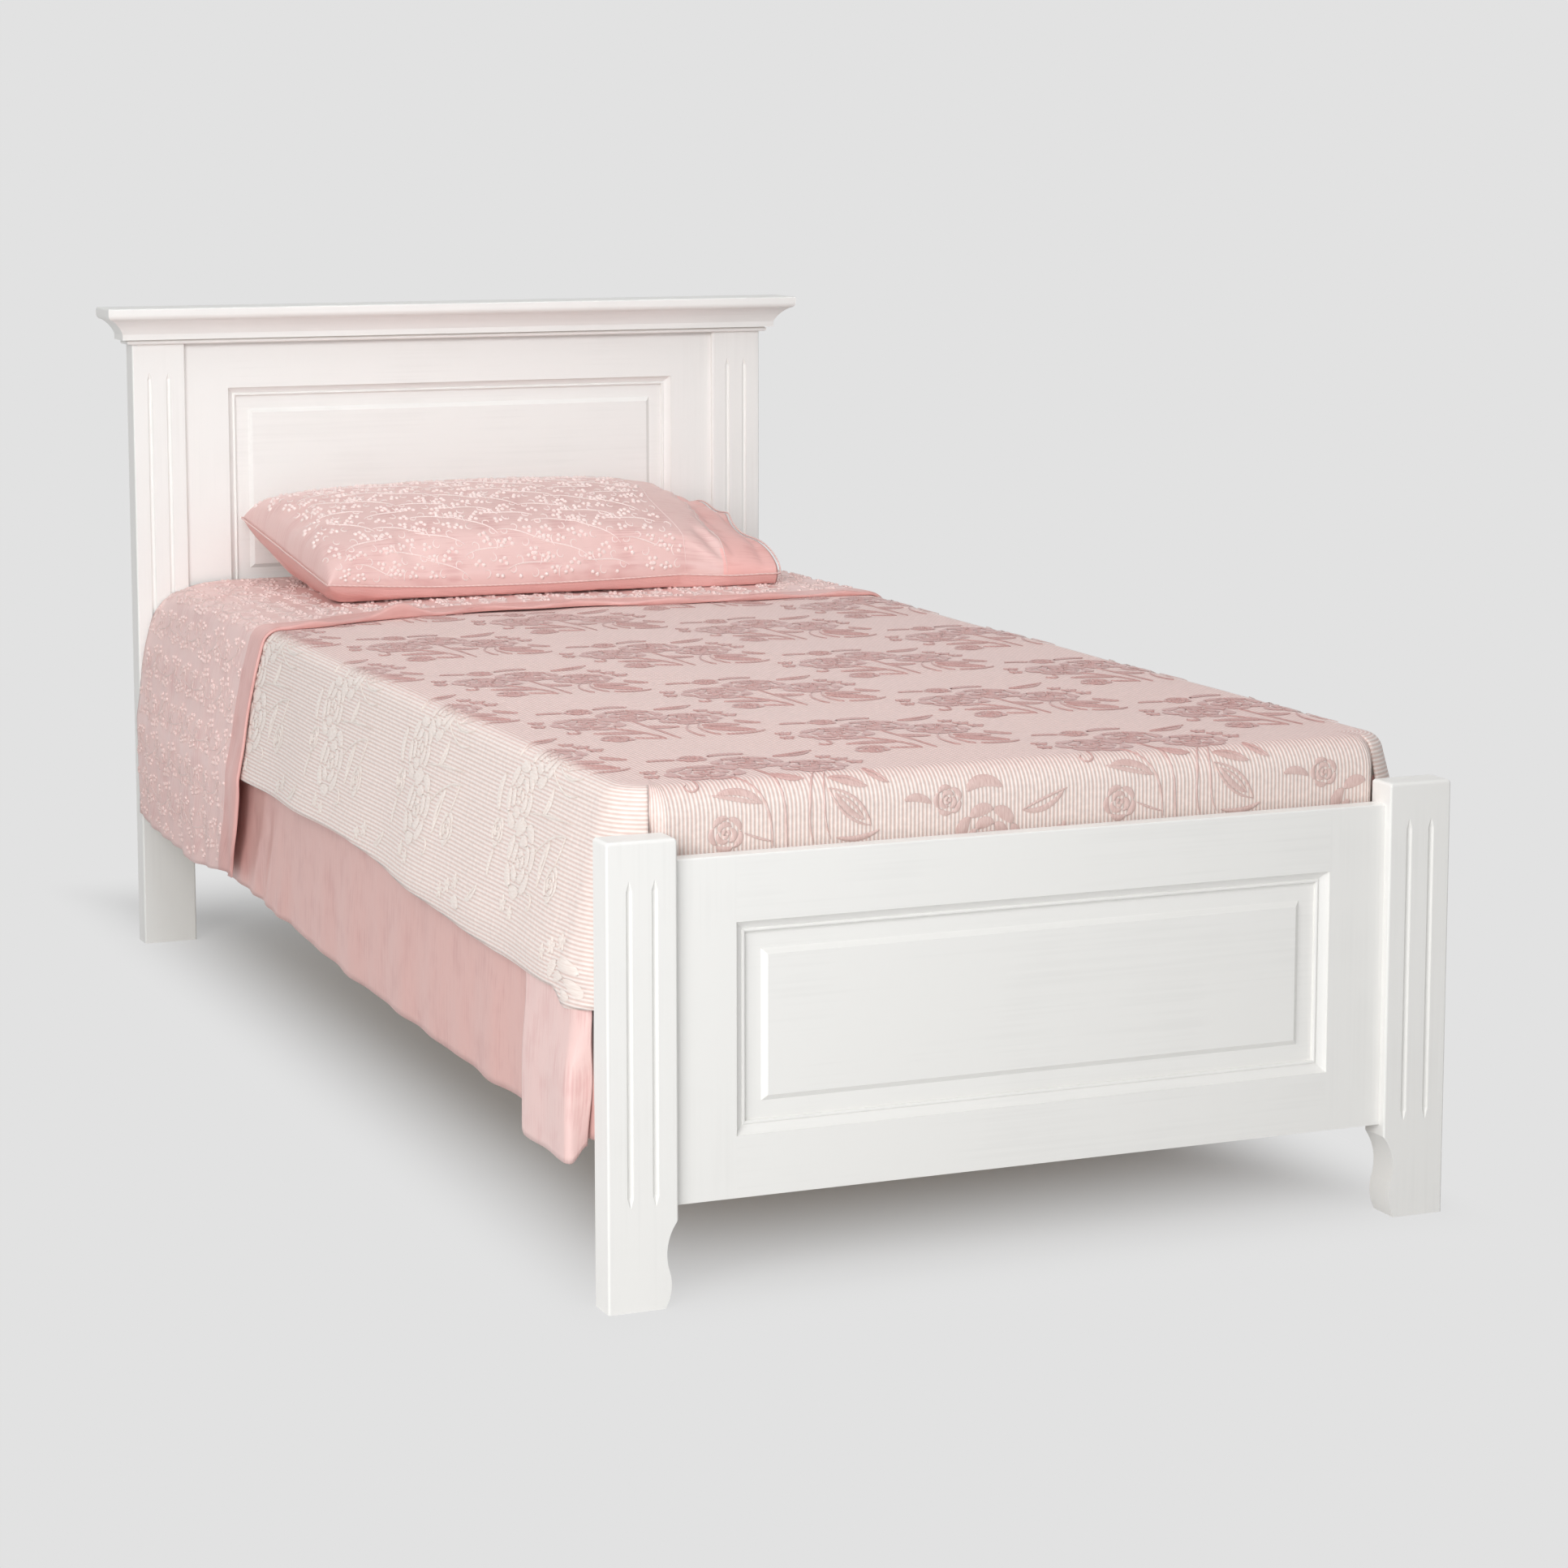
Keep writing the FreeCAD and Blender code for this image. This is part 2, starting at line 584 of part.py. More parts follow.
def crown_run(name, profile, projection):
    """A moulding along the headboard's front with a mitred return on each end."""
    front_half = head_half + projection
    strip = prism(profile, V(2 * front_half, 0, 0), V(-front_half, head_front_y, 0))
    corner = head_front_y + MITRE_GAP
    keep_front = [
        V(-head_half, corner, 0),
        V(-head_half - far, corner - far, 0),
        V(head_half + far, corner - far, 0),
        V(head_half, corner, 0),
    ]
    nodes[name + "_front"] = strip.common(prism(keep_front, V(0, 0, HEAD_HEIGHT), V(0, 0, 0)))
    side = prism(profile, V(HEAD_POST_DEPTH + projection, 0, 0), V(0, 0, 0))
    side = placed(side, Z_AXIS, QUARTER_TURN, V(head_half, head_front_y - projection, 0))
    edge = head_half + MITRE_GAP
    keep_side = [
        V(edge, head_front_y, 0),
        V(edge + far, head_front_y - far, 0),
        V(edge + far, head_back_y, 0),
        V(head_half, head_back_y, 0),
        V(head_half, head_front_y, 0),
    ]
    side = side.common(prism(keep_side, V(0, 0, HEAD_HEIGHT), V(0, 0, 0)))
    nodes[name + "_right"] = side
    nodes[name + "_left"] = mirrored(side)


crown_run("crown_cove", cove_profile, COVE_TOP_PROJECTION)
crown_run("crown_bead", bead_profile, BEAD_PROJECTION)

# Side rails, ledges, slats and their screws
rail = box(rail_inner_x, rail_outer_x, foot_back_y, head_front_y, RAIL_BOTTOM, rail_top_z)
rail = eased(rail, FRAME_EDGE_RADIUS, lambda e: along(e, Y_AXIS))
rail = rail.cut(at_head(rail_pocket())).cut(at_foot(rail_pocket()))
ledge_low_z = ledge_top_z - LEDGE_HEIGHT
ledge_inner_x = rail_inner_x - LEDGE_WIDTH
ledge_foot_y = foot_back_y + LEDGE_END_GAP
ledge_head_y = head_front_y - LEDGE_END_GAP
ledge = box(ledge_inner_x, rail_inner_x, ledge_foot_y, ledge_head_y, ledge_low_z, ledge_top_z)

slat_pitch = (inner_length - 2 * SLAT_END_MARGIN - SLAT_WIDTH) / (SLAT_COUNT - 1)
slat_start = foot_back_y + SLAT_END_MARGIN + SLAT_WIDTH / 2
slat_mids = [slat_start + slat_pitch * number for number in range(SLAT_COUNT)]
slat_half = rail_inner_x - SLAT_END_GAP
slat_screw_x = rail_inner_x - LEDGE_WIDTH / 2
ledge_screw_mids = [mid + slat_pitch / 2 for mid in slat_mids[:-1:LEDGE_SCREW_STEP]]
ledge_screw_z = (ledge_low_z + ledge_top_z) / 2

slat_screws = []
for number, mid in enumerate(slat_mids, 1):
    slat = box(-slat_half, slat_half, mid - SLAT_WIDTH / 2, mid + SLAT_WIDTH / 2, ledge_top_z, slat_top_z)
    slat = eased(slat, SLAT_EDGE_RADIUS, lambda e: along(e, X_AXIS))
    hole = placed(screw(SLAT_SCREW_LENGTH, SCREW_FIT), Z_AXIS, 0, V(slat_screw_x, mid, slat_top_z))
    slat = slat.cut(hole).cut(mirrored(hole))
    ledge = ledge.cut(hole)
    pin = placed(screw(SLAT_SCREW_LENGTH, 0), Z_AXIS, 0, V(slat_screw_x, mid, slat_top_z))
    slat_screws += [pin, mirrored(pin)]
    nodes["slat_%02d" % number] = slat

ledge_screws = []
for mid in ledge_screw_mids:
    spot = V(ledge_inner_x, mid, ledge_screw_z)
    hole = placed(screw(LEDGE_SCREW_LENGTH, SCREW_FIT), Y_AXIS, -QUARTER_TURN, spot)
    ledge = ledge.cut(hole)
    rail = rail.cut(hole)
    pin = placed(screw(LEDGE_SCREW_LENGTH, 0), Y_AXIS, -QUARTER_TURN, spot)
    ledge_screws += [pin, mirrored(pin)]
nodes["side_rail_right"] = rail
nodes["side_rail_left"] = mirrored(rail)
nodes["slat_ledge_right"] = ledge
nodes["slat_ledge_left"] = mirrored(ledge)
nodes["slat_screws"] = Part.makeCompound(slat_screws)
nodes["ledge_screws"] = Part.makeCompound(ledge_screws)

# Mattress
mattress_half = MATTRESS_WIDTH / 2
mattress = box(
    -mattress_half, mattress_half, mattress_foot_y, mattress_head_y, mattress_bottom_z, mattress_top_z
)
mattress = eased(mattress, MATTRESS_CORNER_RADIUS, lambda e: along(e, Z_AXIS))
mattress = eased(mattress, RIDGE_RADIUS, lambda e: e.BoundBox.ZLength < REST_GAP)
nodes["mattress"] = mattress

# Bedding is laid in layers over the mattress. Each layer's outline goes across the top, over a
# rounded ridge, out to the rail and straight down.
sheet_offset = CLOTH_GAP
coverlet_offset = sheet_offset + SHEET_THICKNESS + CLOTH_GAP
turndown_offset = coverlet_offset + COVERLET_THICKNESS + CLOTH_GAP
drape_x = rail_outer_x + RAIL_CLOTH_GAP
bed_top_z = mattress_top_z + turndown_offset + SHEET_THICKNESS


def layer_body(offset, flare, y0, y1, foot_radius):
    """Solid under one layer's surface, with a rounded edge at the foot when foot_radius is not zero."""
    top = mattress_top_z + offset
    ridge_x = mattress_half + offset
    radius = RIDGE_RADIUS + offset
    side_x = drape_x + flare + offset
    side_z = rail_top_z
    run = side_x - ridge_x
    fall = top - radius - side_z
    lean = math.atan2(run, fall)
    mid = V(ridge_x - radius, 0, top - radius)
    part_way = (math.pi / 2 - lean) / 2 + lean
    bend_x = mid.x + radius * math.cos(lean)
    bend = V(bend_x, 0, mid.z + radius * math.sin(lean))
    middle = V(mid.x + radius * math.cos(part_way), 0, mid.z + radius * math.sin(part_way))
    flat = V(mid.x, 0, top)

    def other(point):
        return V(-point.x, 0, point.z)

    outline = [
        V(side_x, 0, 0),
        V(side_x, 0, side_z),
        bend,
        (middle, flat),
        other(flat),
        (other(middle), other(bend)),
        V(-side_x, 0, side_z),
        V(-side_x, 0, 0),
    ]
    body = prism(outline, V(0, y1 - y0, 0), V(0, y0, 0))
    if foot_radius:
        reach = foot_radius * math.cos(math.pi / 4)
        round_mid = V(0, y0 + foot_radius - reach, top - foot_radius + reach)
        shell = [
            V(0, y0, 0),
            V(0, y0, top - foot_radius),
            (round_mid, V(0, y0 + foot_radius, top)),
            V(0, y1, top),
            V(0, y1, 0),
        ]
        body = body.common(prism(shell, V(far, 0, 0), V(-far / 2, 0, 0)))
    return body


def below(y0, z0, y1, z1):
    """Everything under a hem that runs straight between two heights."""
    outline = [V(0, y0, -far), V(0, y0, z0), V(0, y1, z1), V(0, y1, -far)]
    return prism(outline, V(far, 0, 0), V(-far / 2, 0, 0))


# Coverlet: top, sides and a foot end tucked behind the footboard
coverlet_foot_y = foot_back_y + CLOTH_GAP
turndown_foot_y = head_front_y - TURNDOWN_WIDTH
coverlet_head_y = turndown_foot_y + COVERLET_UNDER_TURNDOWN
outer = layer_body(
    coverlet_offset + COVERLET_THICKNESS, COVERLET_FLARE, coverlet_foot_y, coverlet_head_y, FOOT_RIDGE_RADIUS
)
inner = layer_body(
    coverlet_offset,
    COVERLET_FLARE,
    coverlet_foot_y + COVERLET_THICKNESS,
    coverlet_head_y + far,
    FOOT_RIDGE_RADIUS - COVERLET_THICKNESS,
)
coverlet = outer.cut(inner)
coverlet = coverlet.cut(below(foot_back_y, COVERLET_HEM_FOOT, coverlet_head_y, COVERLET_HEM_HEAD))
tuck_half = drape_x + coverlet_offset
tuck = box(-tuck_half, tuck_half, foot_back_y, mattress_foot_y, 0, COVERLET_FOOT_HEM)
nodes["coverlet"] = coverlet.cut(tuck)

# Top sheet: a layer under the coverlet, skirts that hang in soft waves, and a turn-down at the head
sheet_foot_y = coverlet_foot_y + COVERLET_THICKNESS + CLOTH_GAP
sheet_head_y = mattress_head_y + CLOTH_GAP + SHEET_THICKNESS
sheet_radius = FOOT_RIDGE_RADIUS - COVERLET_THICKNESS - CLOTH_GAP
sheet_outer = layer_body(sheet_offset + SHEET_THICKNESS, 0, sheet_foot_y, sheet_head_y, sheet_radius)
sheet_inner = layer_body(
    sheet_offset, 0, sheet_foot_y + SHEET_THICKNESS, sheet_head_y + far, sheet_radius - SHEET_THICKNESS
)
under = sheet_outer.cut(sheet_inner).cut(tuck).cut(box(-far, far, -far, far, 0, SKIRT_JOIN))

wave_length = (sheet_head_y - sheet_foot_y) / SKIRT_WAVE_COUNT
wave_start_x = drape_x + sheet_offset


def ribbon(start_x):
    """Wavy edge in plan: arcs that swell out between the points where the skirt touches its base line."""
    points = []
    for number in range(SKIRT_WAVE_COUNT):
        y = sheet_foot_y + wave_length * number
        points.append((V(start_x + SKIRT_WAVE_DEPTH, y + wave_length / 2, 0), V(start_x, y + wave_length, 0)))
    return points


skirt_near = [V(wave_start_x, sheet_foot_y, 0)] + ribbon(wave_start_x)
skirt_far = [V(wave_start_x + SHEET_THICKNESS, sheet_foot_y, 0)] + ribbon(wave_start_x + SHEET_THICKNESS)
inside_x = wave_start_x - SHEET_THICKNESS
closing = [V(inside_x, sheet_head_y, 0), V(inside_x, sheet_foot_y, 0)]
skirt_height = V(0, 0, SKIRT_TOP - SKIRT_FLAP_HEM)
skirt_spot = V(0, 0, SKIRT_FLAP_HEM)
skirt = prism(skirt_far + closing, skirt_height, skirt_spot)
skirt = skirt.cut(prism(skirt_near + closing, skirt_height, skirt_spot))
flap_y = sheet_foot_y + SKIRT_FLAP_LENGTH
rise_y = flap_y + SKIRT_FLAP_RISE
skirt = skirt.cut(below(rise_y, SKIRT_HEM_FOOT, sheet_head_y, SKIRT_HEM_HEAD))
skirt = skirt.cut(below(flap_y, SKIRT_FLAP_HEM, rise_y, SKIRT_HEM_FOOT))

turn_outer = layer_body(turndown_offset + SHEET_THICKNESS, COVERLET_FLARE, turndown_foot_y, sheet_head_y, 0)
turn_inner = layer_body(turndown_offset, COVERLET_FLARE, turndown_foot_y - far, sheet_head_y + far, 0)
turndown = turn_outer.cut(turn_inner)
turndown = turndown.cut(below(turndown_foot_y, TURNDOWN_HEM_FRONT, sheet_head_y, TURNDOWN_HEM_HEAD))
fold_low = layer_body(sheet_offset, 0, sheet_foot_y, sheet_head_y + far, 0)
fold = turn_outer.cut(fold_low).common(
    box(-far, far, sheet_head_y - SHEET_THICKNESS, sheet_head_y, rail_top_z, bed_top_z)
)
sheet = under.fuse([skirt, mirrored(skirt), turndown, fold]).removeSplitter()
nodes["top_sheet"] = sheet

# Pillow insert and its case, laid against the headboard
pillow_half = PILLOW_LENGTH / 2


def lens(x, depth, rise, sag):
    """Cross-section of the pillow: a crowned top and a flatter underside that meet at the seam."""
    back = V(x, depth / 2, 0)
    front = V(x, -depth / 2, 0)
    top = Part.Arc(front, V(x, 0, rise), back).toShape()
    under_side = Part.Arc(back, V(x, 0, -sag), front).toShape()
    return Part.Wire([top, under_side])


def pillow_body(grow, flange):
    """Loft through the pillow's sections; the sides are drawn in between the corners."""
    sections = []
    for place, height in zip(PILLOW_STATION_SHARES, PILLOW_HEIGHT_SHARES):
        depth = PILLOW_DEPTH - 2 * PILLOW_DRAW_IN * height + 2 * grow
        x = place * (pillow_half + grow)
        sections.append(lens(x, depth, PILLOW_CROWN * height + grow, PILLOW_BELLY * height + grow))
    if flange:
        thin = FLANGE_THICKNESS / 2
        sections.append(lens(pillow_half + FLANGE_LENGTH, PILLOW_DEPTH - PILLOW_DRAW_IN, thin, thin))
    return Part.makeLoft(sections, True, False)


pillow = pillow_body(0, False)
case = pillow_body(CASE_GAP + CASE_THICKNESS, True).cut(pillow_body(CASE_GAP, False))
pair = Part.makeCompound([pillow, case])
pair.rotate(V(0, 0, 0), X_AXIS, PILLOW_TILT)
bounds = pair.optimalBoundingBox(False)
lift = bed_top_z + REST_GAP + CLOTH_GAP - bounds.ZMin
shift = head_front_y - PILLOW_WALL_GAP - bounds.YMax
pair.translate(V(PILLOW_SHIFT, shift, lift))
nodes["pillow_insert"] = pair.SubShapes[0]
nodes["pillowcase"] = pair.SubShapes[1]

os.makedirs("parts", exist_ok=True)
for name, shape in nodes.items():
    shape.exportStep("parts/%s.step" % name)
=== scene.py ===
# %% [markdown]
# # A white panelled single bed, made up in pink satin
# This notebook dresses a bed that already exists as exact carpentry. The frame, its boards, mouldings,
# dowels and fittings come from the CAD model and stay where they are. What Blender adds is what CAD does
# badly: brushed paint, woven cloth, a stuffed pillow and the light they are seen in.
# Everything is in metres. The foot of the bed faces -Y, the headboard stands at +Y and the floor is Z = 0.

# %% Load the carpentry
import math
import bmesh
import bpy
import numpy as np
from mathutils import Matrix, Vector


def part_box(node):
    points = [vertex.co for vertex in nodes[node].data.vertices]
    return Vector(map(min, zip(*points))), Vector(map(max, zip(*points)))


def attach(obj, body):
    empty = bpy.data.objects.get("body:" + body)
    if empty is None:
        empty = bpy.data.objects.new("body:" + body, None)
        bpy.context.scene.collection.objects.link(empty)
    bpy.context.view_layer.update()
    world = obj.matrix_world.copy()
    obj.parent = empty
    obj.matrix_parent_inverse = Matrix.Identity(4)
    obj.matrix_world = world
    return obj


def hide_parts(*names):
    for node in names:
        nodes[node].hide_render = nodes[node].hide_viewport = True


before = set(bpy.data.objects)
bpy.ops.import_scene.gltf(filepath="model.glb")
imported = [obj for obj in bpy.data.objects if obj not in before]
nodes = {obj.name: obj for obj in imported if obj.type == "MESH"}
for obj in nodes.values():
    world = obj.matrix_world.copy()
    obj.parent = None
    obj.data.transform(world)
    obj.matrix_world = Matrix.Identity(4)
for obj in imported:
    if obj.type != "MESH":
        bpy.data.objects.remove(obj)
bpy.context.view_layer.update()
scene = bpy.context.scene
scene.view_settings.view_transform = "Standard"

# %% [markdown]
# ## The camera
# The bed was photographed from its front left corner with a long lens, a little above the mattress.
# A camera could be aimed by eye, but the corners of the posts and panels give its place by arithmetic,
# so it is written here as the numbers that were found: a place, a turn, a tip and a focal length.
# The small downward shift leaves the uprights nearly parallel, as a view camera does.

# %% Set the camera
VIEW_PLACE = (-1.8105, -4.5678, 1.1920)
VIEW_TURN = 0.40034
VIEW_TIP = 0.13657
FOCAL_MM = 89.588
FRAME_SHIFT = -0.08

lens = bpy.data.cameras.new("photo_lens")
lens.sensor_width = 36.0
lens.lens = FOCAL_MM
lens.shift_y = FRAME_SHIFT
lens.clip_end = 200.0
camera = bpy.data.objects.new("photo_camera", lens)
camera.location = VIEW_PLACE
camera.rotation_euler = (math.pi / 2 - VIEW_TIP, 0.0, -VIEW_TURN)
scene.collection.objects.link(camera)
scene.camera = camera
print("camera stands", round(math.dist(VIEW_PLACE, (0, 0, 0.4)), 2), "m from the middle of the bed")

# %% [markdown]
# ## Colours and nodes
# Colours are written as the hex values a paint or yarn card would give. A screen stores them bent by a
# curve, while light adds up straight, so one function straightens them before Blender gets them.
# Materials here are small graphs. One helper adds a node, sets it up and joins it to what feeds it.

# %% Colour and node helpers
def srgb(code):
    """Linear colour of an sRGB hex code: each channel c becomes ((c + 0.055) / 1.055) to the power 2.4."""
    c = np.array([int(code[i:i + 2], 16) for i in (1, 3, 5)]) / 255
    return (*np.where(c <= 0.04045, c / 12.92, ((c + 0.055) / 1.055) ** 2.4).tolist(), 1.0)


def add(tree, kind, feeds=None, **settings):
    """Adds a node of that kind; feeds gives each named or numbered input a value or another node's output."""
    node = tree.nodes.new(kind)
    for key, value in settings.items():
        setattr(node, key, value)
    for key, value in (feeds or {}).items():
        if isinstance(value, bpy.types.NodeSocket):
            tree.links.new(value, node.inputs[key])
        else:
            node.inputs[key].default_value = value
    return node


def new_material(name, **surface):
    """A material with one Principled shader, whose plain inputs are given as input_name=value."""
    made = bpy.data.materials.new(name)
    made.use_nodes = True
    shader = made.node_tree.nodes["Principled BSDF"]
    for key, value in surface.items():
        shader.inputs[key.replace("_", " ")].default_value = value
    return made, made.node_tree, shader


def join(tree, shader, **sockets):
    """Joins other nodes' outputs to the shader's inputs, given as input_name=output."""
    for key, socket in sockets.items():
        tree.links.new(socket, shader.inputs[key.replace("_", " ")])


print("white, straightened:", np.round(srgb("#F3F2EF"), 3))

# %% [markdown]
# Paint, wood, steel, cloth and thread have unlike patterns, but all are put together from a few parts: a place on
# the piece, a noise, stripes, a tone between two colours and a relief. Each part is a short function, so that a
# material reads like a recipe. Lengths on the real thing, in millimetres, give the patterns their scale.

# %% Pattern helpers
MM = 0.001
METRE_MM = 1000
WAVE_CYCLE = 2 * math.pi / 20   # Blender's wave texture repeats over this length at a scale of 1


def calc(tree, operation, *values, kind="ShaderNodeMath"):
    """Result of one operation on numbers or sockets."""
    return add(tree, kind, dict(enumerate(values)), operation=operation).outputs[0]


def in_piece(tree):
    """Place in the piece's own coordinates, in metres."""
    return add(tree, "ShaderNodeTexCoord").outputs["Object"]


def on_cloth(tree):
    """Place on the flat cloth, in metres."""
    return add(tree, "ShaderNodeUVMap", uv_map="cloth").outputs[0]


def drawn_out(tree, place, sizes_mm, **more):
    """Place counted in units of sizes_mm along each axis; a noise of scale 1 there gets that length and width."""
    scale = [1 / (size * MM) for size in sizes_mm]
    return add(tree, "ShaderNodeMapping", {"Vector": place, "Scale": scale, **more}).outputs[0]


def along_grain(axis, long_mm, wide_mm):
    """Sizes for drawn_out: long_mm along one axis and wide_mm along the other two."""
    return [long_mm if each == axis else wide_mm for each in "XYZ"]


def noise(tree, place, scale=1.0, detail=2.0):
    """Cloudy value about one half, with that many lumps to the unit of place."""
    return add(tree, "ShaderNodeTexNoise", {"Vector": place, "Scale": scale, "Detail": detail}).outputs["Fac"]


def stripes(tree, place, pitch_mm, direction, profile="SIN", bend=0.0):
    """Value between 0 and 1 that repeats every pitch_mm; bend is how far noise bends the stripes."""
    feeds = {"Vector": place, "Scale": WAVE_CYCLE / (pitch_mm * MM), "Distortion": bend, "Detail": 2.0,
             "Detail Scale": 1.5}
    return add(tree, "ShaderNodeTexWave", feeds, wave_type="BANDS", bands_direction=direction,
               wave_profile=profile).outputs["Fac"]


def rescaled(tree, value, low, high, start=0.0, end=1.0, **settings):
    """Goes from low to high while value goes from start to end."""
    feeds = {"Value": value, "From Min": start, "From Max": end, "To Min": low, "To Max": high}
    return add(tree, "ShaderNodeMapRange", feeds, **settings).outputs["Result"]


def two_tone(tree, value, first, last, start=0.0, end=1.0):
    """Colour that goes from one hex code to another while value goes from start to end."""
    ramp = add(tree, "ShaderNodeValToRGB", {0: value})
    for k, (place, code) in enumerate(((start, first), (end, last))):
        ramp.color_ramp.elements[k].position = place
        ramp.color_ramp.elements[k].color = srgb(code)
    return ramp.outputs["Color"]


def between(tree, share, first, last, how="MIX"):
    """Colour between two others, each a hex code or a socket; a share of 0 gives the first."""
    ends = [srgb(end) if isinstance(end, str) else end for end in (first, last)]
    feeds = {0: share, 6: ends[0], 7: ends[1]}
    return add(tree, "ShaderNodeMix", feeds, data_type="RGBA", blend_type=how).outputs[2]


def relief(tree, height, distance, strength, **more):
    """Direction of a surface that stands up to distance proud where height is 1."""
    feeds = {"Height": height, "Distance": distance, "Strength": strength, **more}
    return add(tree, "ShaderNodeBump", feeds).outputs[0]


print("stripes 24 mm apart take a wave scale of", round(WAVE_CYCLE / (24 * MM), 2))

# %% [markdown]
# ## Floor and light
# The bed stands in a pale studio with no edge between floor and wall. A curved paper sweep would do that;
# here the floor is a wide disc that melts into the background colour beyond the outline of the bed, so only
# the part underneath, which lies in the bed's shadow, is really lit. A large soft lamp stands near the front
# left corner, so that the front darkens gently to the right, a smaller gridded one lights the headboard over
# the bed, a third hangs above it, and an even world fills the shadows.

# %% Build the studio
STUDIO_GREY = "#E2E2E2"
FLOOR_REACH = 40.0
BED_MIDDLE = (0.0, 0.2, 0.0)
BED_OUTLINE = (0.53, 1.25, 0.0)
FADE_WIDTH = (0.24, 0.48, 1.0)
FADE_ROUND = 0.3
LEAST_FADE = 0.08
FILL_LIGHT = 0.37

rim = np.linspace(0, 2 * math.pi, 96, endpoint=False)
ring = np.stack([np.cos(rim) * FLOOR_REACH, np.sin(rim) * FLOOR_REACH, 0 * rim], 1)
floor_mesh = bpy.data.meshes.new("floor")
floor_mesh.from_pydata(ring.tolist(), [], [list(range(len(ring)))])
floor = bpy.data.objects.new("floor", floor_mesh)
scene.collection.objects.link(floor)


def seen_rays(tree):
    """1 for light that a viewer follows back, straight, in a gloss or through glass, and 0 for all other light."""
    path = add(tree, "ShaderNodeLightPath")
    seen = path.outputs["Is Camera Ray"]
    for kind in ("Is Glossy Ray", "Is Transmission Ray"):
        seen = calc(tree, "MAXIMUM", seen, path.outputs[kind])
    return seen


paper, tree, shader = new_material("matt_studio_paper", Base_Color=srgb("#DCDCDC"), Roughness=0.60)
beyond = in_piece(tree)
for operation, by in (("SUBTRACT", BED_MIDDLE), ("ABSOLUTE", (0, 0, 0)), ("SUBTRACT", BED_OUTLINE),
                      ("DIVIDE", FADE_WIDTH)):
    beyond = calc(tree, operation, beyond, by, kind="ShaderNodeVectorMath")
axes = add(tree, "ShaderNodeSeparateXYZ", {0: beyond})
nearest = calc(tree, "SMOOTH_MAX", axes.outputs["X"], axes.outputs["Y"], FADE_ROUND)
fade = rescaled(tree, nearest, LEAST_FADE, 1.0, -1.0, 0.1, interpolation_type="SMOOTHSTEP")
glow = add(tree, "ShaderNodeEmission", {"Color": srgb(STUDIO_GREY), "Strength": 1.0})
blend = add(tree, "ShaderNodeMixShader", {0: calc(tree, "MULTIPLY", seen_rays(tree), fade), 1: shader.outputs[0],
                                          2: glow.outputs[0]})
tree.links.new(blend.outputs[0], tree.nodes["Material Output"].inputs["Surface"])
floor_mesh.materials.append(paper)
print("floor is", 2 * FLOOR_REACH, "m wide")

# %% [markdown]
# The light comes from three lamps and from the world around. The world is white to the surfaces it lights, and
# the grey of the floor to whoever looks at it, so that floor and background meet without an edge.

# %% Light the studio
world = bpy.data.worlds.new("even_studio")
scene.world = world
world.use_nodes = True
tree = world.node_tree
tree.nodes.clear()
fill = add(tree, "ShaderNodeBackground", {"Color": (1, 1, 1, 1), "Strength": FILL_LIGHT})
wall = add(tree, "ShaderNodeBackground", {"Color": srgb(STUDIO_GREY), "Strength": 1.0})
blend = add(tree, "ShaderNodeMixShader", {0: seen_rays(tree), 1: fill.outputs[0], 2: wall.outputs[0]})
add(tree, "ShaderNodeOutputWorld", {"Surface": blend.outputs[0]})


def soft_lamp(name, place, aim, width, watts, spread=180, tint="#FFFFFF"):
    """A square lamp of that width at place, turned to face aim; spread is the angle its grid lets through."""
    data = bpy.data.lights.new(name, "AREA")
    data.size = width
    data.energy = watts
    data.spread = math.radians(spread)
    data.color = srgb(tint)[:3]
    lamp = bpy.data.objects.new(name, data)
    lamp.location = place
    lamp.rotation_euler = (Vector(aim) - Vector(place)).to_track_quat("-Z", "Y").to_euler()
    scene.collection.objects.link(lamp)


soft_lamp("key_softbox", (-2.9, -3.4, 2.0), (0, -0.2, 0.4), 2.6, 116)
soft_lamp("headboard_softbox", (-0.8, -2.6, 2.2), (0, 0.9, 0.62), 0.9, 1.7, 44, "#F4FAFF")
soft_lamp("overhead_softbox", (0, -0.5, 3.3), (0, -0.4, 0.5), 1.6, 19)

# %% [markdown]
# ## White paint
# The boards are softwood under a satin alkyd paint laid on by brush along each board. Paint hides the
# timber's colour but keeps a ghost of bristle lines, and lies a little uneven over the width of a board.
# Those lines could be an image; a noise drawn out long along the board gives them from any side. Real
# bristle lines are about 1 mm apart, too fine for the picture, so they are drawn about 4 mm apart.

# %% Mix the paint
BRISTLE_MM = 4.0
STROKE_MM = 260.0
COAT_MM = METRE_MM / 9


def brushed_paint(name, along):
    """Satin white whose noise is stretched along one axis: one cycle each STROKE_MM there, BRISTLE_MM across."""
    made, tree, shader = new_material(name, Roughness=0.36, IOR=1.49)
    place = in_piece(tree)
    lines = noise(tree, drawn_out(tree, place, along_grain(along, STROKE_MM, BRISTLE_MM)), detail=3.0)
    coat = noise(tree, place, 1 / (COAT_MM * MM))
    join(tree, shader, Base_Color=two_tone(tree, calc(tree, "ADD", lines, coat), "#F2F1EE", "#F5F4F1", 0.70),
         Roughness=rescaled(tree, lines, 0.36, 0.42), Normal=relief(tree, lines, 0.00012, 0.4))
    return made


paints = {axis: brushed_paint("satin_paint_brushed_along_" + axis, axis) for axis in "XYZ"}


def wear(node, material):
    """Gives a CAD board its finish in place of the plain one it came with."""
    nodes[node].data.materials.clear()
    nodes[node].data.materials.append(material)


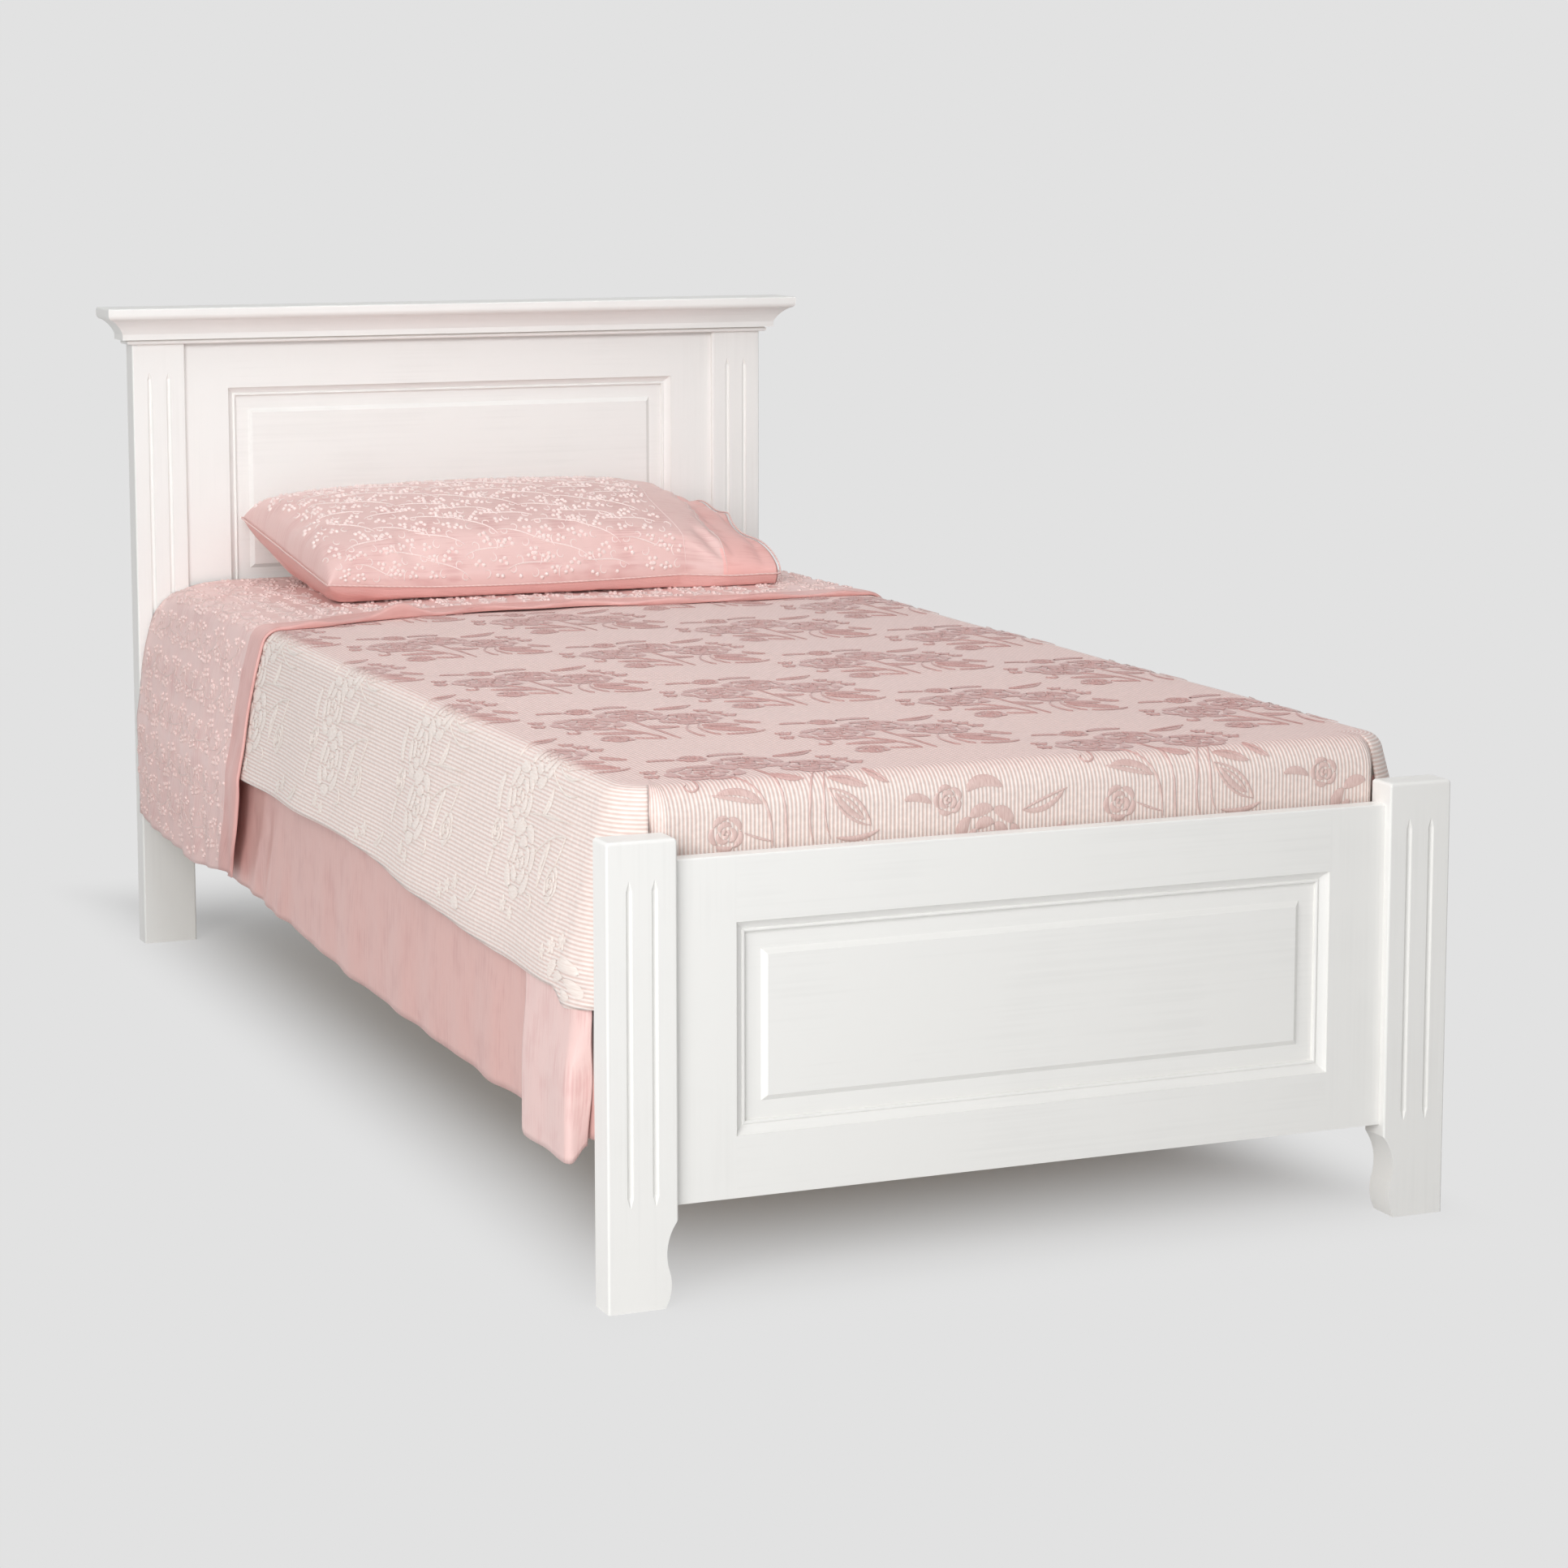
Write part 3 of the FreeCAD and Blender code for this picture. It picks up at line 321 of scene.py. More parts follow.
standing = ("post_left", "post_right", "stile", "moulding_left", "moulding_right")
upright = [n for n in nodes if any(word in n for word in standing)]
lengthways = ["side_rail_left", "side_rail_right", "crown_cove_left", "crown_cove_right", "crown_bead_left",
              "crown_bead_right"]
level = [n for n in nodes if n.startswith(("headboard", "footboard", "crown")) and "dowels" not in n]
for axis, boards in (("X", level), ("Y", lengthways), ("Z", upright)):
    for n in boards:
        wear(n, paints[axis])
print("painted:", len(set(level + lengthways + upright)), "boards")

# %% [markdown]
# ## Bare wood and plated steel
# Under the bedding the bed is honest timber: pine slats and ledges that were planed and left bare, and beech
# dowels. Pine shows broad early and late wood as stripes along the board, planed smooth, so it has a soft
# gloss along its length. The stripes could be photographs of boards; a wave bent by noise gives them in the
# solid, so the end grain agrees with the faces. Beech is finer, with short dark flecks.

# %% Plane the pine, turn the beech
GRAIN_TILT = (0.25, 0.35, 0.2)
PORE_MM, PORE_LONG_MM = 1.2, 40.0
PINE = {"pale": "#EBD2A6", "dark": "#CF9F66", "ring_mm": 7.0, "stretch": 9.0, "bend": 2.2, "gloss": 0.48}
BEECH = {"pale": "#DDB58C", "dark": "#BD8A5E", "ring_mm": 2.2, "stretch": 4.0, "bend": 3.5, "gloss": 0.45}


def bare_wood(name, along, pale, dark, ring_mm, stretch, bend, gloss):
    """Stripes across the grain, ring_mm apart, bent by noise; along the grain the space is drawn out by
    stretch."""
    made, tree, shader = new_material(name, Roughness=gloss, IOR=1.53)
    place = in_piece(tree)
    drawn = drawn_out(tree, place, along_grain(along, METRE_MM * stretch, METRE_MM), Rotation=GRAIN_TILT)
    ring = stripes(tree, drawn, ring_mm, "DIAGONAL", "SAW", bend)
    pore = noise(tree, drawn_out(tree, place, along_grain(along, PORE_LONG_MM, PORE_MM)))
    join(tree, shader, Base_Color=two_tone(tree, calc(tree, "MULTIPLY", ring, pore), pale, dark, 0.0, 0.62),
         Normal=relief(tree, pore, 0.0002, 0.4))
    return made


pine_slat = bare_wood("planed_pine_slat", "X", **PINE)
pine_ledge = bare_wood("planed_pine_ledge", "Y", **PINE)
beech = bare_wood("turned_beech", "X", **BEECH)
for n in nodes:
    if n.startswith("slat_ledge"):
        wear(n, pine_ledge)
    elif n.startswith("slat_") and "screws" not in n:
        wear(n, pine_slat)
    elif n.endswith("dowels"):
        wear(n, beech)
print("bare wood on", sum(n.startswith("slat_") or n.endswith("dowels") for n in nodes), "nodes")

# %% [markdown]
# The hook plates, their strikes and all screws are steel with a bright zinc coat. Zinc settles in small
# crystals that each shine a little differently, so its gloss and brightness change from patch to patch.

# %% Plate the steel
CRYSTAL_MM = 3.0
zinc, tree, shader = new_material("zinc_plated_steel", Metallic=1.0, Roughness=0.34)
crystal = add(tree, "ShaderNodeTexVoronoi", {"Vector": in_piece(tree), "Scale": 1 / (CRYSTAL_MM * MM)})
join(tree, shader, Base_Color=two_tone(tree, crystal.outputs["Color"], "#B9BEC2", "#D3D5D4"),
     Roughness=rescaled(tree, crystal.outputs["Distance"], 0.28, 0.42))
fittings = [n for n in nodes if n.endswith(("plates", "screws"))]
for n in fittings:
    wear(n, zinc)
print("plated:", fittings)

# %% [markdown]
# ## Cloth going over an edge
# Coverlet, sheet and turn-down are all cloth laid on a mattress and falling over its sides. A simulation
# could drop them, but a made bed is smooth and pulled straight, so each is written as one surface. Its two
# parameters are places on the flat cloth in metres: u across the bed and v along it, so the distances on
# the surface are those of the real cloth and a woven pattern keeps its size wherever it lies.

# %% The fall of a cloth
LOW, HIGH = (np.array(corner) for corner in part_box("mattress"))
EDGE = 0.026
BEND = 0.014
RIDGE_X = HIGH[0] - BEND
MATTRESS_TOP = HIGH[2]
KNEE_ROUND = 0.05


def ease(a, b, x):
    """Rises from 0 at a to 1 at b with no corner: 3 s squared less 2 s cubed."""
    s = np.clip((x - a) / (b - a), 0, 1)
    return s * s * (3 - 2 * s)


def bell(x, width):
    """1 in the middle and less to both sides: e to the power of minus (x / width) squared."""
    return np.exp(-(x / width) ** 2)


def wave(x, length, start=0.0):
    """A sine that repeats every length."""
    return np.sin(2 * np.pi * x / length + start)


def fall(t, bend_round, lean, knee):
    """How far out and down a point lies that is t beyond the start of an edge: the cloth turns on an arc of
    bend_round to lean short of plumb, slopes until it has dropped by knee, bends to plumb and hangs."""
    turn = np.pi / 2 - lean
    arc = np.clip(t / bend_round, 0, turn)
    slope = (knee - bend_round * (1 - np.cos(turn))) / np.sin(turn)
    run = np.clip(t - bend_round * turn, 0, slope)
    knee_arc = np.clip((t - bend_round * turn - slope) / KNEE_ROUND, 0, lean)
    rest = np.maximum(t - bend_round * turn - slope - KNEE_ROUND * lean, 0)
    out = bend_round * np.sin(arc) + run * np.cos(turn) + KNEE_ROUND * (np.sin(turn + knee_arc) - np.sin(turn))
    down = (bend_round * (1 - np.cos(arc)) + run * np.sin(turn)
            + KNEE_ROUND * (np.cos(turn) - np.cos(turn + knee_arc)) + rest)
    return out, down


print("mattress top", round(MATTRESS_TOP, 4), "ridge at", round(RIDGE_X, 4))
print("fall of 0.3 m of cloth:", [round(float(x), 4) for x in fall(0.3, 0.034, 0.28, 0.18)])

# %% [markdown]
# ## From surfaces to meshes
# A surface sampled on a grid is a sheet of points; its faces join each point to its neighbours. Some pieces
# need several such sheets, so their points and faces are first put into one list. The helper gives every
# corner its place on the flat cloth as UV in metres, then welds points that meet.

# %% Mesh helpers
def grid_quads(rows, columns, start=0):
    """Corner numbers of the quads of a rows by columns sheet, whose points are numbered row by row."""
    k = start + np.arange(rows * columns).reshape(rows, columns)
    return np.stack([k[:-1, :-1], k[1:, :-1], k[1:, 1:], k[:-1, 1:]], -1).reshape(-1, 4)


def as_faces(quads):
    """Corner lists for Blender; a quad that names a corner twice becomes a triangle."""
    return [list(dict.fromkeys(quad)) for quad in quads.tolist()]


def pairs(u, v):
    """Two arrays as one list of pairs."""
    return np.stack([u, v], -1).reshape(-1, 2)


def unit(vectors, least=1e-9):
    """The same directions, each with a length of 1."""
    return vectors / np.maximum(np.linalg.norm(vectors, axis=-1, keepdims=True), least)


def new_piece(name, points, quads, body, material=(), which=None, uv=None, lie_for_painted_light=None, weld=True):
    """A mesh of these points and quads that rides on body. which gives each quad's material, uv each point's
    place on the flat cloth and lie_for_painted_light how flat the cloth lies there, 1 on the bed and 0 where it
    hangs, from which materials paint the hanging cloth paler as painted light."""
    mesh = bpy.data.meshes.new(name)
    mesh.from_pydata(points.tolist(), [], as_faces(quads))
    for each in material:
        mesh.materials.append(each)
    if which is not None:
        mesh.polygons.foreach_set("material_index", np.asarray(which, np.int32))
    corner = np.zeros(len(mesh.loops), np.int32)
    mesh.loops.foreach_get("vertex_index", corner)
    if uv is not None:
        mesh.uv_layers.new(name="cloth").data.foreach_set("uv", uv[corner].astype(np.float32).ravel())
    if lie_for_painted_light is not None:
        mesh.attributes.new("lie_for_painted_light", "FLOAT", "POINT").data.foreach_set("value", lie_for_painted_light.astype(np.float32))
    if weld:
        shell = bmesh.new()
        shell.from_mesh(mesh)
        bmesh.ops.remove_doubles(shell, verts=shell.verts, dist=0.0001)
        shell.to_mesh(mesh)
        shell.free()
    mesh.polygons.foreach_set("use_smooth", np.ones(len(mesh.polygons), bool))
    piece = bpy.data.objects.new(name, mesh)
    scene.collection.objects.link(piece)
    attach(piece, body)
    print(name, len(mesh.vertices), "points", len(mesh.polygons), "faces")
    return piece


def thicken(piece, thickness):
    """Gives a sheet its thickness, on the inner side so that the outer face stays where it was worked out."""
    wall = piece.modifiers.new("thickness", "SOLIDIFY")
    wall.thickness = thickness
    wall.offset = -1.0


def facing(surface, u, v, step=0.0008):
    """Outward direction of a surface at u, v: the cross product of its slopes along u and along v."""
    along_u = surface(u + step, v) - surface(u - step, v)
    along_v = surface(u, v + step) - surface(u, v - step)
    return unit(np.cross(along_u, along_v), 1e-12)


print("the first face of a 3 by 2 sheet joins points", grid_quads(3, 2)[0].tolist())
# %% [markdown]
# ## Mattress
# A sprung mattress in striped cotton ticking, mostly hidden by the bedding; it shows between the slats and
# when it is lifted. A beveled box would look like foam, so it is a box of six grids rounded by one formula,
# with shallow quilted dimples above and below and a corded edge round the top and the bottom.

# %% Weave the ticking
STRIPE_MM = 24.0
THREAD_MM = METRE_MM / 420


def cotton_ticking(name, ground, stripe):
    """Plain-woven cotton with woven stripes: bands every STRIPE_MM along X, dull, with a fine thread bump."""
    made, tree, shader = new_material(name, Roughness=0.85, Sheen_Weight=0.15)
    place = in_piece(tree)
    join(tree, shader, Base_Color=two_tone(tree, stripes(tree, place, STRIPE_MM, "X"), ground, stripe, 0.82, 0.90),
         Normal=relief(tree, noise(tree, place, 1 / (THREAD_MM * MM)), 0.0004, 0.5))
    return made


ticking = cotton_ticking("striped_cotton_ticking", "#EFEBE2", "#C9CBD0")

# %% Quilt the mattress
QUILT = 0.11
DIMPLE = 0.004
CORNER = 0.050
CORD, CORD_INSET = 0.0028, 0.3 * EDGE
HALF = (HIGH - LOW) / 2
MIDDLE = (HIGH + LOW) / 2


def quilted_box(face, a, b):
    """Face (axis, sign) of a box at a, b in -1..1. In plan, what lies beyond the core that is CORNER smaller is
    drawn in from a square to a circle, which rounds the upright corners. In the section through the side, the
    place is clamped EDGE in from side and top and set EDGE out again, which rounds the level edges. Dimples on
    top and bottom are DIMPLE times one less sin squared across a diamond."""
    axis, sign = face
    p = np.zeros(a.shape + (3,))
    p[..., axis] = sign
    p[..., (axis + 1) % 3] = a
    p[..., (axis + 2) % 3] = b * sign
    p = p * HALF
    core = np.clip(p[..., :2], -(HALF[:2] - CORNER), HALF[:2] - CORNER)
    beyond = p[..., :2] - core
    out, high = np.abs(beyond).max(-1), np.abs(p[..., 2])
    heading = unit(beyond)
    kept = np.stack([np.minimum(out, CORNER - EDGE), np.minimum(high, HALF[2] - EDGE)], -1)
    rest = np.stack([out, high], -1) - kept
    diamond = [np.sin(np.pi * (p[..., 0] + k * p[..., 1]) / QUILT) for k in (1, -1)]
    dimple = 1 - (diamond[0] * diamond[1]) ** 2
    depth = EDGE - DIMPLE * dimple * (axis == 2) * (out < CORNER - EDGE)
    rest = unit(rest) * depth[..., None]
    flat, level = core + heading * (kept + rest)[..., :1], np.sign(p[..., 2]) * (kept + rest)[..., 1]
    return MIDDLE + np.concatenate([flat, level[..., None]], -1)


def steps_for(length, pitch):
    """Places from -1 to 1 about one pitch apart, with more of them in the rounded ends."""
    near = 1 - CORNER / (length / 2) * np.array([1.0, 0.8, 0.62, 0.46, 0.34, 0.22, 0.12, 0.05, 0.0])
    return np.concatenate([-near[::-1], np.linspace(-near[0], near[0], int(length / pitch))[1:-1], near])


points, quads, count = [], [], 0
for face in [(axis, sign) for axis in range(3) for sign in (-1, 1)]:
    first, second = (steps_for(2 * HALF[(face[0] + k) % 3], 0.022) for k in (1, 2))
    a, b = np.meshgrid(first, second, indexing="ij")
    made = quilted_box(face, a, b)
    points.append(made.reshape(-1, 3))
    quads.append(grid_quads(*a.shape, count)[:, ::-1])
    count += a.size
mattress = new_piece("quilted_mattress", np.concatenate(points), np.concatenate(quads), "mattress_set", [ticking])
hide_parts("mattress")

# %% [markdown]
# The border of a mattress is sewn to its top and bottom over a cord, which shows as a thin roll round both
# edges. A bevel would be too smooth for it, so a tube is carried along a level rounded rectangle, once below and
# once above.

# %% Cord the edges
def tube(path, radius, sides=8):
    """A closed tube round a closed path: at each point a circle of that radius, square to the path and turned by
    the path's own direction and the direction that is up where the path isn't."""
    ahead = unit(np.roll(path, -1, 0) - np.roll(path, 1, 0))
    side = unit(np.cross(ahead, [0, 0, 1.0]))
    up = np.cross(side, ahead)
    angle = np.linspace(0, 2 * np.pi, sides, endpoint=False)
    round_about = np.cos(angle)[None, :, None] * side[:, None] + np.sin(angle)[None, :, None] * up[:, None]
    ring = path[:, None] + radius * round_about
    k = np.arange(len(path) * sides).reshape(len(path), sides)
    far, round_ = np.roll(k, -1, 0), np.roll(k, -1, 1)
    return ring.reshape(-1, 3), np.stack([k, far, np.roll(far, -1, 1), round_], -1).reshape(-1, 4)[:, ::-1]


def corded_edge(z, inset, corner):
    """A level rounded rectangle at height z, inset inside the mattress's sides, as a closed path."""
    turn = np.linspace(0, np.pi / 2, 9)
    half = HALF[:2] - inset - corner
    quarter = np.stack([np.cos(turn), np.sin(turn)], 1) * corner
    signs = np.array([[1, 1], [-1, 1], [-1, -1], [1, -1]])
    flat = np.concatenate([(turned + half) * sign for turned, sign in zip([quarter, quarter[:, ::-1]] * 2, signs)])
    return np.concatenate([flat + MIDDLE[:2], np.full((len(flat), 1), z)], 1)


cords = [tube(corded_edge(z, CORD_INSET, CORNER - CORD_INSET), CORD)
         for z in (LOW[2] + CORD_INSET, HIGH[2] - CORD_INSET)]
cord_points = np.concatenate([c[0] for c in cords])
cord_quads = np.concatenate([cords[0][1], cords[1][1] + len(cords[0][0])])
cord_cloth = cotton_ticking("cotton_edge_cord", "#DAD8D4", "#CFCDCA")
edging = new_piece("mattress_edge_cord", cord_points, cord_quads, "mattress_set", [cord_cloth])

# %% [markdown]
# ## Satin
# The sheet, turn-down and pillowcase are satin: long floats of thread on the face that send light back in a
# streak rather than all round. Anisotropy along the thread gives the streak, a little sheen the soft edge,
# and a noise drawn out along the weft gives slubs. Threads are a tenth of a millimetre, far too fine to show,
# so the slubs are drawn about 2.5 mm apart.

# %% Weave the satin
SLUB_MM = 2.5
SLUB_LONG_MM = 60.0
CREASE_MM = 45.0


def woven_satin(name, deep, pale):
    """Satin between a deep and a pale colour, its slubs drawn out along u and its highlight along v. A slow
    noise of CREASE_MM moves the surface as ironed-out creases do, and moves the colour with it as painted
    sheen and shade of those creases."""
    made, tree, shader = new_material(name, Roughness=0.38, Anisotropic=0.8, Sheen_Weight=0.2, Sheen_Roughness=0.4,
                                      Sheen_Tint=srgb(pale), IOR=1.52)
    cloth = on_cloth(tree)
    slub = noise(tree, drawn_out(tree, cloth, (SLUB_LONG_MM, SLUB_MM, METRE_MM)))
    drift = noise(tree, cloth, 1 / (CREASE_MM * MM))
    crease = relief(tree, drift, 0.006, 0.35)
    grain = add(tree, "ShaderNodeTangent", direction_type="UV_MAP", uv_map="cloth")
    # Painted light: the crease noise in the colour is painted sheen and shade of creases; the slubs are the
    # thread's own tone.
    join(tree, shader, Base_Color=two_tone(tree, calc(tree, "ADD", slub, drift), deep, pale, 0.72),
         Normal=relief(tree, slub, 0.0003, 0.35, Normal=crease), Tangent=grain.outputs[0])
    return made


sheet_satin = woven_satin("woven_satin_sheet", "#D6A59F", "#E1B4AD")
turn_satin = woven_satin("woven_satin_turn_down", "#E4BAB6", "#EFCDC8")
case_satin = woven_satin("woven_satin_pillowcase", "#DCB0AC", "#E8C4BF")
band_satin = woven_satin("woven_satin_hem_band", "#D49C96", "#E1AFA9")
# Painted light: the pillow's back satin is the hem band's deep pink painted lighter, for light on its underside
# and flange.
back_satin_painted_lighter = woven_satin("woven_satin_pillow_back_painted_lighter", "#E4A8A2", "#F0BBB5")

# %% [markdown]
# ## The top sheet
# One satin sheet lies over the mattress and hangs down both long sides as a short skirt in soft upright
# folds. Under the coverlet it is flat; below the coverlet's hem it is free, so its folds grow towards the
# hem. The folds are a sum of waves along the bed, raised to a power so that the crests are wide and the
# valleys between them narrow, as in cloth that has been pulled straight by hand. By the turn-down they slant,
# because there the cloth is dragged towards the head. At the foot the cloth follows the mattress's rounded
# corner, so the square corner of the formula is drawn round there.

# %% Drape the sheet
RAIL_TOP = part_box("side_rail_left")[1].z
SHEET_RISE = 0.0024
SHEET_THICK = 0.0016
SHEET_LEAN = 0.200
SHEET_HEAD = 0.9550
FOOT_EDGE = -0.9200
FOOT_CORNER = 0.030
FOOT_REACH = 0.0625
SWING_MOST = math.radians(70)
HEAD_SINK = (0.0084, 0.0108)
SKIRT_HEM = ([-0.96, -0.76, -0.64, -0.47, -0.11, 0.42, 0.96],
             [0.165, 0.1655, 0.161, 0.163, 0.168, 0.193, 0.196])


def folds(v, seed=0.0):
    """Soft upright folds from 0 to 1: three waves of unlike length summed, then narrowed in the valleys."""
    waves = wave(v, 0.173, 0.6 + seed) + 0.7 * wave(v, 0.107, 2.1 + seed) + 0.5 * wave(v, 0.291, 4.0 + seed)
    return (0.5 + waves / 4.4) ** 0.7


def drop_length(rise, lean, hem):
    """Length of cloth from the ridge to a hem at that height: the fall to the rail, then straight down."""
    bend_round, knee = BEND + rise, MATTRESS_TOP + rise - RAIL_TOP
    turn = np.pi / 2 - lean
    slope = (knee - bend_round * (1 - np.cos(turn))) / np.sin(turn)
    along = bend_round * turn + slope + KNEE_ROUND * lean
    return along + MATTRESS_TOP + rise - fall(along, bend_round, lean, knee)[1] - hem


def over_bed(u, y, rise, lean):
    """A layer laid rise above the mattress: level up to the ridge, then falling over the side."""
    t = np.maximum(np.abs(u) - RIDGE_X, 0)
    out, down = fall(t, BEND + rise, lean, MATTRESS_TOP + rise - RAIL_TOP)
    x = np.sign(u) * (np.minimum(np.abs(u), RIDGE_X) + out)
    return np.stack([x, y + 0 * u, MATTRESS_TOP + rise - down], -1), t


def round_foot(p):
    """Draws a cloth round the two foot corners. Beyond a core that is FOOT_CORNER inside the edges, what lies or
    hangs at the side turns about the core's corner by up to SWING_MOST, as far as the posts leave room, and what
    falls at the foot fills the rest of the right angle."""
    side = np.abs(p[..., 0]) - (RIDGE_X - FOOT_CORNER)
    foot = FOOT_EDGE + FOOT_CORNER - p[..., 1]
    wide, deep = np.maximum(side, 1e-6), np.maximum(foot, 1e-6)
    swing = np.arcsin(np.minimum(np.sin(SWING_MOST), FOOT_REACH / wide)) * foot / np.minimum(wide, FOOT_CORNER)
    rest = np.pi / 2 - (np.pi / 2 - SWING_MOST) * side / np.minimum(deep, FOOT_CORNER)
    radius, turn = np.maximum(wide, deep), np.where(foot <= side, swing, rest)
    x = np.sign(p[..., 0]) * (RIDGE_X - FOOT_CORNER + radius * np.cos(turn))
    y = FOOT_EDGE + FOOT_CORNER - radius * np.sin(turn)
    corner = ((side > 0) & (foot > 0))[..., None]
    return np.where(corner, np.stack([x, y, p[..., 2]], -1), p)


def sink_at_head(p, u, y):
    """Lets a cloth sink round the two head corners of the mattress: a bell across the ridge that grows towards the
    head, along the line that halves the bend."""
    sink = ease(0.885, 0.960, y) * bell(np.abs(u) - RIDGE_X - BEND, 0.032)
    p[..., 0] -= np.sign(u) * HEAD_SINK[0] * sink
    p[..., 2] -= HEAD_SINK[1] * sink


def sheet_at(u, v):
    """The top sheet: over_bed, with folds that grow from the rail down to the hem, and rounded corners."""
    p, _ = over_bed(u, v, SHEET_RISE, SHEET_LEAN)
    sink_at_head(p, u, v)
    free = ease(0.345, 0.19, p[..., 2])
    dragged = bell(v - 0.30, 0.13) * wave(v + 0.42 * p[..., 2], 0.066)
    p[..., 0] += np.sign(u) * free * (0.0005 + 0.0075 * folds(v, np.sign(u)) + 0.0020 * dragged)
    return round_foot(p)


lowest = min(SKIRT_HEM[1])
print("cloth from the ridge to the lowest hem:", round(float(drop_length(SHEET_RISE, SHEET_LEAN, lowest)), 3), "m")

# %% [markdown]
# The sheet is sampled on the flat cloth, closely round the foot corners and down to the wandering hem on both
# sides, and every sample is sent to its place by the formula.

# %% Lay the sheet
at_foot = np.linspace(FOOT_EDGE, FOOT_EDGE + FOOT_CORNER, 10)
v = np.concatenate([at_foot, np.linspace(FOOT_EDGE + FOOT_CORNER, SHEET_HEAD, 258)[1:]])
hang = drop_length(SHEET_RISE, SHEET_LEAN, np.interp(v, *SKIRT_HEM))
share = np.linspace(0, 1, 44)
side = RIDGE_X + share[:, None] * hang[None, :]
top = np.linspace(-RIDGE_X, RIDGE_X, 24)[1:-1, None] + 0 * v[None, :]
u = np.concatenate([-side[::-1], top, side])
v = v[None, :] + 0 * u
cloth = pairs(u, v)
top_sheet = new_piece("satin_top_sheet", sheet_at(cloth[:, 0], cloth[:, 1]), grid_quads(*u.shape), "mattress_set",
                      [sheet_satin], uv=cloth)
thicken(top_sheet, SHEET_THICK)

# %% [markdown]
# At the foot each skirt ends in a corner that hangs lower, where the sheet was pulled round the mattress and
# let go. It is a second layer, so it is a piece of its own: a strip of the sheet's satin that turns inwards behind
# the post. It wears the paler turn-down satin, which is painted light for the light this turned fold catches.
# Under the coverlet it is pressed round the mattress on a wide arc; lower down it is free, so it flares and falls
# into a narrow fold, which catches the bright upright streak of light.

# %% Hang the two loose corners
CORNER_START = -0.7700
CORNER_X = 0.4985
CORNER_TOP, CORNER_HEM = 0.335, 0.1370
CORNER_LONG, CORNER_DOWN = 0.174, 0.19
CORNER_THICK = 0.0014
PRESSED = (0.135, 0.030, math.radians(60))
FREE = (0.145, 0.009, math.radians(82))


def turned_in(along, straight, bend_round, most):
    """Plan of a strip that runs straight, turns inwards by most on an arc and runs on: how far in, how far on."""
    arc = np.clip((along - straight) / bend_round, 0, most)
    run = np.maximum(along - straight - bend_round * most, 0)
    inwards = bend_round * (1 - np.cos(arc)) + run * np.sin(most)
    return np.stack([inwards, np.minimum(along, straight) + bend_round * np.sin(arc) + run * np.cos(most)])


def corner_at(sign, a, b):
    """Loose corner at a along it and b down it, both 0..1: turned in as PRESSED at the top, blending to FREE below
    the coverlet, where the fold wanders on its way down and the strip flares outwards."""
    loose = ease(0.18, 0.62, b)
    along = a * CORNER_LONG
    pressed = turned_in(along * 0.955, *PRESSED)
    free = turned_in(along - 0.0025 * a * np.sin(7 * b + 0.6), *FREE)
    inwards, on = pressed + loose * (free - pressed)
    hem = CORNER_HEM + 0.004 * ease(0.1, 0.8, a) + 0.018 * ease(0.90, 1.0, a) + 0.004 * ease(0.05, 0.0, a)
    z = CORNER_TOP + (hem - CORNER_TOP) * b
    flare = loose * (0.004 + 0.006 * a + 0.0014 * wave(a * 1.5 + 0.1, 1.0))
    return np.stack([sign * (CORNER_X + flare - inwards), CORNER_START - on - 0.004 * (1 - b), z], -1)


# Painted light: the loose corners wear the paler turn-down satin, lighter than the sheet for the light the fold
# catches.
for sign, hand in ((-1, "left"), (1, "right")):
    a, b = np.meshgrid(np.linspace(0, 1, 90), np.linspace(0, 1, 30), indexing="ij")
    quads = grid_quads(*a.shape)
    piece = new_piece("satin_loose_corner_" + hand, corner_at(sign, a, b).reshape(-1, 3),
                      quads if sign > 0 else quads[:, ::-1], "mattress_set", [turn_satin],
                      uv=pairs(b * CORNER_DOWN, a * CORNER_LONG))
    thicken(piece, CORNER_THICK)

# %% [markdown]
# ## The coverlet
# The coverlet is a ribbed jacquard: cream ribs stand on a pink ground and run the length of the bed, and
# bouquets are woven into it as smooth satin. On the bed it is painted pinker and where it hangs paler and
# creamier; this is painted light, for the sheen and fuller light the hanging sides catch, so the colour follows
# how the cloth lies.
# Real ribs are about 3 mm apart. They are drawn 4.6 mm apart, because finer ones would turn to grey in the
# picture.

# %% Weave the ribs
RIB_MM = 4.6
GRIT_MM = METRE_MM / 160


def painted_light_tone(tree, share, first, last):
    """Colour between two, each given by a hex code for hanging cloth and one for cloth that lies on the bed; the
    paler hanging codes are painted light.
    """
    lie_for_painted_light = add(tree, "ShaderNodeAttribute", attribute_name="lie_for_painted_light").outputs["Fac"]
    return between(tree, share, between(tree, lie_for_painted_light, *first), between(tree, lie_for_painted_light, *last))


